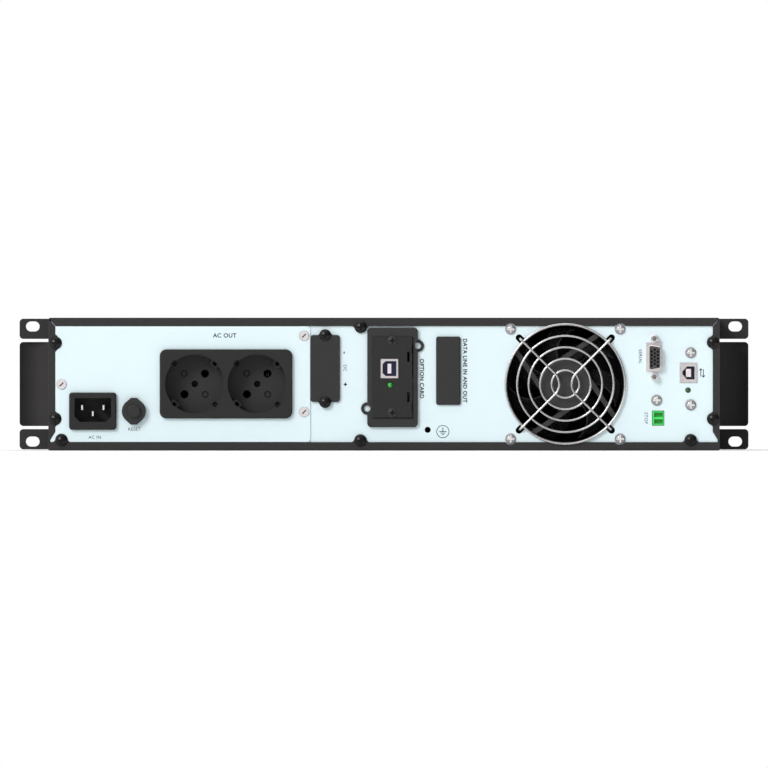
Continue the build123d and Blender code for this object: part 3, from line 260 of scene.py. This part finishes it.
# Near-black cross floors and darker edges: painted shade in the crosses and along the rims.
dark_screw = finish("dark_screw", (0.033, 0.033, 0.033), (0.4, 0.52), grain=1600.0, bump=0.06,
                    bump_depth=0.00002, patch=300.0, spread=0.2, edge_wear_and_painted_light=(0.008, 0.008, 0.008),
                    edge_radius=0.0003, edge_share=(0.6, 1.0), specular=0.2,
                    layers=[((0.002, 0.002, 0.002), flat_floor)])
# Nickel in a lit and a shaded copy: the dome is a darkened nickel, painted shade; the cross floors are near
# white, a painted highlight; the dark edges are painted shade round the cross and rim.
bright_screw = finish("nickel_screw", (0.33, 0.32, 0.325), (0.16, 0.28), metallic=0.35, grain=1500.0,
                      bump=0.06, bump_depth=0.00003, patch=260.0, spread=0.08, edge_wear_and_painted_light=(0.03, 0.029, 0.03),
                      edge_radius=0.00022, edge_share=(0.8, 1.0), specular=0.8,
                      layers=[((0.95, 0.94, 0.94), flat_floor)])
# The slot is painted near black and the edges darker: painted shade.
flat_screw = finish("flat_nickel_screw", (0.84, 0.79, 0.80), (0.3, 0.42), metallic=0.7, grain=1500.0,
                    bump=0.06, bump_depth=0.00003, patch=260.0, spread=0.05, edge_wear_and_painted_light=(0.55, 0.52, 0.53),
                    edge_radius=0.0002,
                    layers=[((0.06, 0.055, 0.055), deeper_than(flat_screw_face - 0.0002))])
# The pins are a dark metal with near-white flat ends: the ends carry a painted highlight.
pin_metal = finish("pin_metal", (0.12, 0.115, 0.115), (0.24, 0.38), metallic=0.7, grain=1300.0, bump=0.06,
                   bump_depth=0.00003, patch=120.0, spread=0.05, layers=[((0.97, 0.93, 0.93), flat_floor)])
nickel = finish("nickel_plate", (0.80, 0.745, 0.75), (0.24, 0.38), metallic=0.9, grain=1300.0, bump=0.06,
                bump_depth=0.00003, patch=120.0, spread=0.05, edge_wear_and_painted_light=(0.95, 0.91, 0.91), edge_radius=0.0002)
plated_wire = finish("plated_wire", (0.6, 0.59, 0.595), (0.2, 0.34), metallic=1.0, grain=900.0, bump=0.1,
                     patch=90.0, spread=0.1)
brass = finish("brass", (0.62, 0.43, 0.16), (0.2, 0.4), metallic=1.0, patch=120.0, spread=0.18)
aluminium = finish("extruded_aluminium", (0.62, 0.62, 0.63), (0.3, 0.48), metallic=1.0, grain=700.0,
                   bump=0.25, spread=0.1, along=(6.0, 0.6, 1.0))
# The blades' lighter edges are a painted highlight.
fan_plastic = finish("fan_plastic", (0.024, 0.024, 0.024), (0.2, 0.32), grain=1400.0, bump=0.1,
                     patch=80.0, spread=0.2, edge_wear_and_painted_light=(0.14, 0.14, 0.14), edge_radius=0.0004, specular=0.8)
hub_plastic = finish("fan_frame_plastic", (0.040, 0.040, 0.040), (0.42, 0.56), grain=1800.0, bump=0.3,
                     spread=0.1, edge_wear_and_painted_light=(0.07, 0.07, 0.07), specular=0.35)
# The holes of the insert are painted near black: painted shade.
port_black = finish("port_black", (0.065, 0.064, 0.064), (0.4, 0.55), grain=2400.0, bump=0.2, spread=0.2,
                    specular=0.3, layers=[((0.003, 0.003, 0.003), deeper_than(serial_face - 0.0003))])
# The recesses are painted a darker green, a painted shade, and the edges a brighter green, a painted
# highlight.
plug_green = finish("plug_green", (0.04, 0.70, 0.10), (0.3, 0.44), grain=1800.0, bump=0.2, patch=160.0,
                    spread=0.12, edge_wear_and_painted_light=(0.16, 0.85, 0.22), edge_radius=0.0003,
                    layers=[((0.012, 0.40, 0.035), deeper_than(plug_face - 0.0006))])
battery_plastic = finish("battery_case", (0.05, 0.05, 0.055), (0.4, 0.6), grain=1200.0, bump=0.4,
                         spread=0.15, edge_wear_and_painted_light=(0.1, 0.1, 0.1))
core_varnish = finish("laminated_core", (0.09, 0.075, 0.065), (0.35, 0.6), metallic=0.4, grain=1100.0,
                      bump=0.8, patch=90.0, spread=0.3, along=(0.2, 0.2, 3.0))
legend_ink = finish("legend_ink", (0.018, 0.02, 0.022), (0.5, 0.62), grain=3000.0, bump=0.15,
                    patch=400.0, spread=0.2, specular=0.1)
symbol_white = finish("symbol_white", (0.72, 0.73, 0.74), (0.45, 0.6), grain=2500.0, bump=0.15,
                      patch=300.0, spread=0.06)


def circuit_board_material():
    """Green solder mask over copper tracks, with tinned pads."""
    material, tree, shader = new_material("circuit_board")
    place = coordinates(tree)
    bricks = {"Vector": place, "Scale": 90.0, "Mortar Size": 0.03}
    lines = add(tree, "ShaderNodeTexBrick", bricks).outputs["Fac"]
    patches = noise(tree, 60.0, 5.0)
    mask = mixed(tree, patches, (0.010, 0.095, 0.035, 1.0), (0.02, 0.17, 0.06, 1.0))
    tracks = mixed(tree, lines, mask, (0.035, 0.25, 0.09, 1.0))
    cells = add(tree, "ShaderNodeTexVoronoi", {"Vector": place, "Scale": 260.0}).outputs["Distance"]
    pads = between(tree, cells, 0.12, 0.1, 0.0, 1.0)
    tree.links.new(mixed(tree, pads, tracks, (0.6, 0.58, 0.5, 1.0)), shader.inputs["Base Color"])
    tree.links.new(over_noise(tree, patches, 0.25, 0.45), shader.inputs["Roughness"])
    relief = add(tree, "ShaderNodeBump", {"Height": lines, "Strength": 0.3, "Distance": 0.0001})
    tree.links.new(relief.outputs["Normal"], shader.inputs["Normal"])
    return material


def port_insert_material(tongue_boxes):
    """The blue inserts of the square ports, whose contact tongues are nearly white."""
    material, tree, shader = new_material("port_insert")
    place = add(tree, "ShaderNodeSeparateXYZ", {"Vector": coordinates(tree)})
    inside = None
    for centre_x, centre_z, half_x, half_z, root in tongue_boxes:
        here = arithmetic(tree, "GREATER_THAN", place.outputs["Y"], root)
        for axis, centre, half in (("X", centre_x, half_x), ("Z", centre_z, half_z)):
            inputs = {0: place.outputs[axis], 1: centre, 2: half}
            within = add(tree, "ShaderNodeMath", inputs, operation="COMPARE").outputs[0]
            here = arithmetic(tree, "MULTIPLY", here, within)
        inside = here if inside is None else arithmetic(tree, "MAXIMUM", inside, here)
    patches = over_noise(tree, noise(tree, 300.0, 4.0), 0.0, 1.0)
    blue = mixed(tree, patches, (0.010, 0.016, 0.075, 1.0), (0.018, 0.035, 0.15, 1.0))
    white = mixed(tree, patches, (0.70, 0.63, 0.64, 1.0), (0.86, 0.80, 0.81, 1.0))
    tree.links.new(mixed(tree, inside, blue, white), shader.inputs["Base Color"])
    tree.links.new(between(tree, patches, 0.0, 1.0, 0.32, 0.46), shader.inputs["Roughness"])
    fine = noise(tree, 1800.0, 2.0)
    relief = add(tree, "ShaderNodeBump", {"Height": fine, "Strength": 0.15, "Distance": 0.00004})
    tree.links.new(relief.outputs["Normal"], shader.inputs["Normal"])
    return material


def tongue_box(node):
    """Where a port's tongue is, worked out from its insert: its middle, its half size and its root."""
    margin, length = 0.0001, 0.0055
    points = [v.co for v in nodes[node].data.vertices]
    tip = max(p.y for p in points)
    face = [p for p in points if p.y > tip - margin]
    xs, zs = [p.x for p in face], [p.z for p in face]
    half_x, half_z = (max(xs) - min(xs)) / 2 + margin, (max(zs) - min(zs)) / 2 + margin
    return (min(xs) + max(xs)) / 2, (min(zs) + max(zs)) / 2, half_x, half_z, tip - length


def lamp_material(name, lit, dark):
    """A tinted lens with darker and lighter spots, under a clear coat."""
    material, tree, shader = new_material(name)
    spots = noise(tree, 500.0, 2.0)
    tone = between(tree, spots, *SPECK_RANGE, 0.0, 1.0)
    tree.links.new(mixed(tree, tone, opaque(dark), opaque(lit)), shader.inputs["Base Color"])
    tree.links.new(over_noise(tree, spots, 0.08, 0.2), shader.inputs["Roughness"])
    shader.inputs["Coat Weight"].default_value = 0.6
    return material


def display_material():
    """The display's dark window, with a faint blue film and fine scratches."""
    material, tree, shader = new_material("display_window")
    film = mixed(tree, noise(tree, 40.0, 2.0), (0.010, 0.018, 0.032, 1.0), (0.016, 0.026, 0.05, 1.0))
    tree.links.new(film, shader.inputs["Base Color"])
    scratches = noise(tree, 700.0, 2.0, stretched(tree, (0.2, 1.0, 4.0)))
    tree.links.new(between(tree, scratches, 0.4, 0.7, 0.05, 0.14), shader.inputs["Roughness"])
    shader.inputs["Coat Weight"].default_value = 1.0
    return material


def glowing_material(name, colour, strength):
    """The lit marks of the display."""
    material, tree, shader = new_material(name)
    tone = mixed(tree, noise(tree, 900.0, 2.0), shade(colour, 0.85), shade(colour, 1.0))
    tree.links.new(tone, shader.inputs["Base Color"])
    tree.links.new(tone, shader.inputs["Emission Color"])
    shader.inputs["Emission Strength"].default_value = strength
    tree.links.new(over_noise(tree, noise(tree, 900.0), 0.4, 0.6), shader.inputs["Roughness"])
    return material


circuit_board = circuit_board_material()
port_insert = port_insert_material([tongue_box("usb_insert"), tongue_box("card_usb_insert")])
card_lamp = lamp_material("card_lamp", (0.04, 0.5, 0.05), (0.004, 0.14, 0.01))
panel_lamp = lamp_material("panel_lamp", (0.004, 0.09, 0.008), (0.0, 0.025, 0.002))
display_window = display_material()
display_glow = glowing_material("display_glow", (0.35, 0.75, 1.0), 0.9)

finishes = {
    black_coat: "base_tray top_cover rack_ear_left rack_ear_right battery_tray front_panel",
    light_coat: "rear_panel outlet_plate",
    zinc: "battery_divider earth_nut outlet_bracket",
    black_screw: "case_screws ear_screws",
    dark_screw: "card_screws socket_screws",
    flat_screw: "outlet_plate_screws",
    card_moulding: "card_plate",
    bright_screw: "fan_screws comm_board_screws",
    socket_moulding: "socket_housing",
    inlet_moulding: "inlet_housing",
    black_moulding: "epo_header breaker_body battery_port_cover slot_frame slot_guides surge_port_cover "
                    "battery_port_connector",
    button_plastic: "breaker_button power_button select_button mute_button",
    nickel: "serial_shell serial_jackscrews usb_shell card_usb_shell",
    pin_metal: "inlet_pins",
    # The earth clips and contacts are painted shade: metal darkened deep in the sockets.
    metal_in_painted_shade: "earth_clips socket_contacts",
    brass: "battery_terminals",
    port_black: "serial_insert",
    port_insert: "usb_insert card_usb_insert",
    plug_green: "epo_plug",
    card_lamp: "card_led",
    panel_lamp: "comm_led",
    plated_wire: "fan_guard",
    hub_plastic: "fan_frame",
    fan_plastic: "fan_impeller",
    bezel_plastic: "front_bezel display_housing battery_cover",
    display_window: "lcd_window",
    battery_plastic: "batteries",
    circuit_board: "card_board comm_board power_board",
    aluminium: "heatsinks capacitors",
    core_varnish: "transformer",
}
for material, names in finishes.items():
    for name in names.split():
        mesh = nodes[name].data
        mesh.materials.clear()
        mesh.materials.append(material)


# ------------------------------------------------------------------ mesh helpers


def piece(name, vertices, faces, material, body, smooth=False):
    """A mesh object that moves with one body."""
    mesh = bpy.data.meshes.new(name)
    mesh.from_pydata([tuple(v) for v in vertices], [], faces)
    mesh.validate()
    mesh.update()
    mesh.materials.append(material)
    for polygon in mesh.polygons:
        polygon.use_smooth = smooth
    item = bpy.data.objects.new(name, mesh)
    bpy.context.scene.collection.objects.link(item)
    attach(item, body)
    return item


def around(centre_x, centre_z, radius, angle, y):
    """A point on a circle about a line that runs along y."""
    return centre_x + radius * math.cos(angle), y, centre_z + radius * math.sin(angle)


def text_shape(words, size, weight):
    """The thin mesh of some words, centred on 0: its points and its faces.

    weight thickens the strokes, as a share of the size."""
    curve = bpy.data.curves.new("words", "FONT")
    curve.body = words
    curve.size = size
    curve.align_x = "CENTER"
    curve.align_y = "CENTER"
    curve.extrude = 0.00002
    curve.offset = weight * size
    curve.space_character = 1.08
    carrier = bpy.data.objects.new("words", curve)
    bpy.context.scene.collection.objects.link(carrier)
    bpy.context.view_layer.update()
    mesh = bpy.data.meshes.new_from_object(carrier.evaluated_get(bpy.context.evaluated_depsgraph_get()))
    points = [tuple(v.co) for v in mesh.vertices]
    faces = [tuple(p.vertices) for p in mesh.polygons]
    bpy.data.objects.remove(carrier)
    bpy.data.meshes.remove(mesh)
    bpy.data.curves.remove(curve)
    return points, faces


def rear_legend(name, words, x, z, size, weight, y, downwards=False):
    """Words printed on a rear face, read from behind, either level or from top to bottom."""
    lift = 0.00003
    points, faces = text_shape(words, size * MM, weight)
    if downwards:
        placed = [(x * MM - v, y + lift + w, z * MM - u) for u, v, w in points]
    else:
        placed = [(x * MM - u, y + lift + w, z * MM + v) for u, v, w in points]
    return piece(name, placed, faces, legend_ink, "chassis")


# Each legend: its name, its words, x, z and size in mm, the weight, the face it is on, and whether
# it reads downwards
legends = [
    ("legend_output", "AC OUT", 103.9, 74.8, 3.8, 0.02, plate_y, False),
    ("legend_input", "AC IN", 188.7, 8.4, 2.9, 0.0, plate_y, False),
    ("legend_breaker", "RESET", 162.9, 13.7, 2.9, 0.0, plate_y, False),
    ("legend_minus", "-", 25.7, 63.7, 4.0, 0.045, panel_y, True),
    ("legend_battery", "DC", 25.5, 53.7, 3.0, 0.0, panel_y, True),
    ("legend_plus", "+", 25.4, 43.0, 4.0, 0.045, panel_y, True),
    ("legend_slot", "OPTION CARD", -24.6, 46.8, 3.6, 0.03, panel_y, True),
    ("legend_data_line", "DATA LINE IN AND OUT", -52.8, 52.0, 3.5, 0.03, panel_y, True),
    ("legend_serial", "SERIAL", -167.2, 61.2, 3.0, 0.0, panel_y, True),
    ("legend_stop", "STOP", -170.9, 21.0, 3.0, 0.0, panel_y, True),
]
for row in legends:
    rear_legend(*row)


def flat_strip(points, width, closed=False):
    """A flat ribbon along a line of (u, v) points: its points and its faces."""
    count = len(points)
    left, right = [], []
    for i, here in enumerate(points):
        before = points[i - 1] if (closed or i > 0) else here
        after = points[(i + 1) % count] if (closed or i < count - 1) else here
        along = Vector((after[0] - before[0], after[1] - before[1])).normalized()
        across = Vector((-along.y, along.x)) * width / 2
        left.append((here[0] + across.x, here[1] + across.y))
        right.append((here[0] - across.x, here[1] - across.y))
    spans = range(count if closed else count - 1)
    faces = [(i, count + i, count + (i + 1) % count, (i + 1) % count) for i in spans]
    return left + right, faces


def circle_points(radius, count=48):
    """Points round a circle about 0, for a closed ribbon."""
    angles = [math.radians(360.0 * i / count) for i in range(count)]
    return [(radius * math.cos(a), radius * math.sin(a)) for a in angles]


def symbol(name, strips, x, z, y, material, body, facing=1):
    """A printed symbol made of ribbons.  facing is 1 on the rear and -1 on the front."""
    lift, thick = 0.02, 0.04
    vertices, faces = [], []
    for points, width, closed in strips:
        flat, quads = flat_strip(points, width, closed)
        under = len(vertices)
        over = under + len(flat)
        for depth in (0.0, thick):
            level = y + facing * (lift + depth) * MM
            vertices += [((x - facing * u) * MM, level, (z + v) * MM) for u, v in flat]
        faces += [tuple(over + i for i in quad) for quad in quads]
        faces += [tuple(under + i for i in reversed(quad)) for quad in quads]
        half = len(flat) // 2
        for i in range(half if closed else half - 1):
            after = (i + 1) % half
            faces.append((under + i, over + i, over + after, under + after))
            faces.append((under + half + after, over + half + after, over + half + i, under + half + i))
        if not closed:
            for i, flip in ((0, False), (half - 1, True)):
                end = (under + i, under + half + i, over + half + i, over + i)
                faces.append(tuple(reversed(end)) if flip else end)
    return piece(name, vertices, faces, material, body)


symbol("earth_symbol", [
    (circle_points(4.0), 0.42, True),
    ([(0, 2.7), (0, 0.0)], 0.5, False),
    ([(-2.3, 0.0), (2.3, 0.0)], 0.5, False),
    ([(-1.5, -1.0), (1.5, -1.0)], 0.45, False),
    ([(-0.7, -2.0), (0.7, -2.0)], 0.45, False),
], -38.4, 12.2, panel_y, legend_ink, "chassis")
symbol("data_symbol", [
    ([(-0.8, 2.8), (-0.8, -2.4)], 0.5, False),
    ([(-1.8, 1.6), (-0.8, 2.8), (0.1, 1.7)], 0.5, False),
    ([(0.9, -2.8), (0.9, 2.4)], 0.5, False),
    ([(0.0, -1.7), (0.9, -2.8), (1.9, -1.6)], 0.5, False),
], -207.5, 50.5, panel_y, legend_ink, "chassis")


# ------------------------------------------------------------------ fan impeller


def build_impeller():
    """The fan's hub, its shaft and its curved, swept blades, in place of the plain CAD ones."""
    box_low, box_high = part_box("fan_impeller")
    centre_x, centre_z = (box_low.x + box_high.x) / 2, (box_low.z + box_high.z) / 2
    tip_gap, back_gap, shaft_length = 0.0003, 0.0002, 0.006
    tip = (box_high.x - box_low.x) / 2 - tip_gap
    back = box_low.y + back_gap
    shaft_end = box_high.y
    front = shaft_end - shaft_length
    hub, shaft, edge = 0.017, 0.0015, 0.0008
    vertices, faces = [], []

    def lathe(profile, sides=64):
        """A solid of revolution about the fan's axis.

        profile lists radius and y from one end to the other."""
        starts = []
        for radius, y in profile:
            starts.append(len(vertices))
            for i in range(sides):
                vertices.append(around(centre_x, centre_z, radius, math.tau * i / sides, y))
        for first, second in zip(starts, starts[1:]):
            for i in range(sides):
                after = (i + 1) % sides
                faces.append((first + i, first + after, second + after, second + i))
        faces.append(tuple(starts[0] + i for i in reversed(range(sides))))
        faces.append(tuple(starts[-1] + i for i in range(sides)))

    lathe([(hub - 0.0014, back), (hub - 0.0004, back + 0.0005), (hub, back + 0.0014), (hub, front - edge),
           (hub - edge, front), (shaft, front), (shaft, shaft_end)])

    spans, chords = 14, 16                      # how finely a blade is divided, along it and across it
    root = hub - 0.001
    root_pitch, pitch_loss = 52, 22             # degrees
    tip_sweep = 26                              # degrees
    root_depth, depth_loss = 0.94, 0.08         # shares of the impeller's depth
    camber_share, run_share = 0.10, 0.72
    half_thick, edge_thick = 0.0007, 0.00012

    def blade(turn):
        """One blade: a thin shell whose chord turns back and flattens towards the tip."""
        start = len(vertices)
        middle_y = (back + front) / 2
        for side in (1, -1):
            for i in range(spans + 1):
                share = i / spans
                radius = root + (tip - root) * share
                pitch = math.radians(root_pitch - pitch_loss * share)
                sweep = math.radians(tip_sweep * share * share)
                depth = (front - back) * (root_depth - depth_loss * share)
                run = depth / math.tan(pitch) * run_share
                for j in range(chords + 1):
                    along = j / chords - 0.5
                    camber = camber_share * (1 - (2 * along) ** 2)
                    thick = half_thick * (1 - (2 * along) ** 4) + edge_thick
                    angle = turn + sweep + (along * run + camber * depth) / radius + side * thick / radius
                    vertices.append(around(centre_x, centre_z, radius, angle, middle_y + along * depth))
        row = chords + 1
        layer = (spans + 1) * row
        for i in range(spans):
            for j in range(chords):
                a = start + i * row + j
                b = a + layer
                faces.append((a, a + 1, a + row + 1, a + row))
                faces.append((b, b + row, b + row + 1, b + 1))
        rim = [start + j for j in range(row)]
        rim += [start + i * row + chords for i in range(1, spans + 1)]
        rim += [start + spans * row + j for j in reversed(range(chords))]
        rim += [start + i * row for i in reversed(range(1, spans))]
        for here, after in zip(rim, rim[1:] + rim[:1]):
            faces.append((here, here + layer, after + layer, after))

    blades, first_turn = 7, 0.2
    for number in range(blades):
        blade(math.tau * number / blades + first_turn)
    impeller = piece("fan_impeller_blades", vertices, faces, fan_plastic, "fan_rotor", smooth=True)
    impeller.data.set_sharp_from_angle(angle=math.radians(35))
    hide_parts("fan_impeller")


build_impeller()


# ------------------------------------------------------------------ threads


def thread(name, x, z, radius, y0, y1):
    """An internal thread in painted shade: a ridged sleeve that lines a bore, darkened to stand for the
    shade deep in it.
    """
    depth, pitch = 0.00022, 0.0007
    sides, steps_per_turn = 32, 4
    steps = int((y1 - y0) / pitch * steps_per_turn)
    vertices, faces = [], []
    for i in range(steps + 1):
        y = y0 + (y1 - y0) * i / steps
        for j in range(sides):
            phase = (i / steps_per_turn + j / sides) % 1.0
            inner = radius - depth * (1 - abs(2 * phase - 1))
            vertices.append(around(x, z, inner, math.tau * j / sides, y))
    outer = len(vertices)
    for y in (y0, y1):
        vertices += [around(x, z, radius, math.tau * j / sides, y) for j in range(sides)]
    end = steps * sides
    for j in range(sides):
        after = (j + 1) % sides
        for i in range(steps):
            here, above = i * sides, (i + 1) * sides
            faces.append((here + j, here + after, above + after, above + j))
        faces.append((outer + j, outer + after, after, j))
        faces.append((end + j, end + after, outer + sides + after, outer + sides + j))
        faces.append((outer + sides + j, outer + sides + after, outer + after, outer + j))
    return piece(name, vertices, faces, metal_in_painted_shade, "chassis")


def build_threads():
    """The threads of the two serial standoffs."""
    screw_low, screw_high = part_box("serial_jackscrews")
    x = (screw_low.x + screw_high.x) / 2
    head, bore, edge, sunk = 0.00245, 0.00139, 0.0004, 0.0008
    start, end = panel_y - sunk, screw_high.y - edge
    for number, z in enumerate((screw_low.z + head, screw_high.z - head), 1):
        thread(f"standoff_thread_{number}", x, z, bore, start, end)


build_threads()


# ------------------------------------------------------------------ front display

lcd_low, lcd_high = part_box("lcd_window")
housing_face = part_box("display_housing")[0].y
lcd_x = (lcd_low.x + lcd_high.x) / 2 / MM
lcd_z = (lcd_low.z + lcd_high.z) / 2 / MM


def glowing_symbol(name, strips, x, z):
    """Lit strips on the face of the display's window, read from the front."""
    symbol(name, strips, x, z, lcd_low.y, display_glow, "display", facing=-1)


def box_strip(x0, z0, x1, z1, width=0.35):
    """The outline of a rectangle."""
    return ([(x0, z0), (x1, z0), (x1, z1), (x0, z1)], width, True)


def digit_strips(x, z, segments):
    """A seven-segment digit: its lit segments are letters from a to g."""
    w, h = 2.2, 2.5             # half a digit's width, and half its height
    width, gap = 0.55, 0.35
    places = {
        "a": [(x - w + gap, z + 2 * h), (x + w - gap, z + 2 * h)],
        "b": [(x + w, z + 2 * h - gap), (x + w, z + h + gap)],
        "c": [(x + w, z + h - gap), (x + w, z + gap)],
        "d": [(x - w + gap, z), (x + w - gap, z)],
        "e": [(x - w, z + h - gap), (x - w, z + gap)],
        "f": [(x - w, z + 2 * h - gap), (x - w, z + h + gap)],
        "g": [(x - w + gap, z + h), (x + w - gap, z + h)],
    }
    return [(places[letter], width, False) for letter in segments]


def level_bars(x, count):
    """The filled steps of a level gauge, from its left."""
    places = [x + 2.5 * step for step in range(count)]
    return [([(place, -9.0), (place, -6.4)], 1.5, False) for place in places]


two, three, zero = "abged", "abgcd", "abcdef"
digits = []
for digit_x, segments in ((-5.5, two), (0.5, three), (6.5, zero)):
    digits += digit_strips(digit_x, -2.5, segments)
glowing_symbol("display_digits", digits, lcd_x, lcd_z + 3.5)
bars = [box_strip(-16.5, -9.8, -7.0, -5.6)] + level_bars(-15.4, 4)
bars += [([(-6.6, -8.4), (-6.6, -7.0)], 0.5, False)]
bars += [box_strip(7.0, -9.8, 16.5, -5.6)] + level_bars(8.1, 2)
bars += [([(-4.5, -7.7), (4.5, -7.7)], 0.35, False)]
bars += [([(3.2, -6.7), (4.5, -7.7), (3.2, -8.7)], 0.35, False)]
glowing_symbol("display_bars", bars, lcd_x, lcd_z)
glowing_symbol("display_border", [box_strip(-20.4, -11.9, 20.4, 11.9, 0.2)], lcd_x, lcd_z)


def button_symbol(name, node, strips):
    """A printed symbol just under a front button."""
    drop = 2.4
    button_low, button_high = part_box(node)
    x = (button_low.x + button_high.x) / 2 / MM
    symbol(name, strips, x, button_low.z / MM - drop, housing_face, symbol_white, "display", facing=-1)


ring_angles = [math.radians(40 + 280 * i / 24) for i in range(25)]
power_ring = [(math.sin(a) * 1.05, math.cos(a) * 1.05) for a in ring_angles]
button_symbol("power_symbol", "power_button", [
    (power_ring, 0.26, False), ([(0, 1.4), (0, 0.2)], 0.26, False)])
button_symbol("select_symbol", "select_button", [
    ([(-1.1, 0.5), (1.1, 0.5)], 0.26, False), ([(0.5, 1.1), (1.1, 0.5), (0.5, -0.1)], 0.26, False),
    ([(-1.1, -0.7), (1.1, -0.7)], 0.26, False)])
button_symbol("mute_symbol", "mute_button", [
    ([(-1.2, 0.5), (-0.5, 0.5), (0.4, 1.1), (0.4, -1.1), (-0.5, -0.5), (-1.2, -0.5)], 0.24, True),
    ([(0.8, 0.7), (1.5, -0.7)], 0.24, False), ([(1.5, 0.7), (0.8, -0.7)], 0.24, False)])


# ------------------------------------------------------------------ light, floor and camera


def build_world():
    """A white surround that lights the object unevenly, as panels in a studio do."""
    world = bpy.data.worlds.new("studio")
    bpy.context.scene.world = world
    world.use_nodes = True
    tree = world.node_tree
    tree.nodes.clear()
    output = tree.nodes.new("ShaderNodeOutputWorld")
    direction = add(tree, "ShaderNodeTexCoord").outputs["Generated"]
    bright_side = (0.72, 0.0, 0.69)
    dimmest, brightest = 0.03, 0.92
    lean = add(tree, "ShaderNodeVectorMath", {0: direction, 1: bright_side}, operation="DOT_PRODUCT")
    level = between(tree, lean.outputs["Value"], -0.5, 0.85, dimmest, brightest)
    lighting = add(tree, "ShaderNodeBackground", {"Color": (1.0, 1.0, 1.0, 1.0), "Strength": level})
    backdrop = add(tree, "ShaderNodeBackground", {"Color": (1.0, 1.0, 1.0, 1.0), "Strength": 1.0})
    seen = add(tree, "ShaderNodeLightPath").outputs["Is Camera Ray"]
    both = add(tree, "ShaderNodeMixShader", {0: seen, 1: lighting.outputs[0], 2: backdrop.outputs[0]})
    tree.links.new(both.outputs[0], output.inputs["Surface"])


def hang(name, light, place, towards):
    """Puts a light into the scene."""
    lamp = bpy.data.objects.new(name, light)
    lamp.location = place
    lamp.rotation_mode = "QUATERNION"
    lamp.rotation_quaternion = Vector(towards).to_track_quat("-Z", "Y")
    bpy.context.scene.collection.objects.link(lamp)


def sun(name, towards, energy, angle):
    """A distant light whose disc spans an angle in degrees."""
    light = bpy.data.lights.new(name, "SUN")
    light.energy = energy
    light.angle = math.radians(angle)
    hang(name, light, (0.0, 0.0, 0.0), towards)


def area(name, place, energy, size):
    """A square light that faces the object."""
    light = bpy.data.lights.new(name, "AREA")
    light.energy = energy
    light.size = size
    hang(name, light, place, -Vector(place))


def build_floor():
    """A pale floor, just under the object."""
    material, tree, shader = new_material("floor_paint")
    tone = mixed(tree, noise(tree, 3.0, 4.0), (0.90, 0.90, 0.90, 1.0), (0.93, 0.93, 0.93, 1.0))
    tree.links.new(tone, shader.inputs["Base Color"])
    tree.links.new(over_noise(tree, noise(tree, 8.0), 0.7, 0.85), shader.inputs["Roughness"])
    shader.inputs["Specular IOR Level"].default_value = 0.2
    reach, level = 1.6, -0.0002
    mesh = bpy.data.meshes.new("floor")
    corners = [(reach * x, reach * y, level) for x, y in ((-1, -1), (1, -1), (1, 1), (-1, 1))]
    mesh.from_pydata(corners, [], [(0, 1, 2, 3)])
    mesh.materials.append(material)
    floor = bpy.data.objects.new("floor", mesh)
    bpy.context.scene.collection.objects.link(floor)


def build_camera():
    """A very long lens square to the rear panel, so that the view has almost no perspective."""
    view_width = 0.5011
    data = bpy.data.cameras.new("camera")
    data.lens = 1640.0
    data.sensor_width = 36.0
    data.clip_start, data.clip_end = 1.0, 100.0
    distance = view_width * data.lens / data.sensor_width
    camera = bpy.data.objects.new("camera", data)
    camera.location = (0.0, panel_y + distance, unit_height / 2)
    camera.rotation_euler = (math.radians(90), 0.0, math.radians(180))
    bpy.context.scene.collection.objects.link(camera)
    bpy.context.scene.camera = camera


build_world()
sun("key", (-0.66, -1.0, -0.62), 1.42, 22.0)
sun("front_fill", (0.4, 1.0, -0.5), 1.1, 30.0)
area("overhead", (0.0, -0.1, 1.6), 6.0, 1.4)
build_floor()
build_camera()
bpy.context.scene.view_settings.view_transform = "Standard"
bpy.context.scene.view_settings.look = "None"
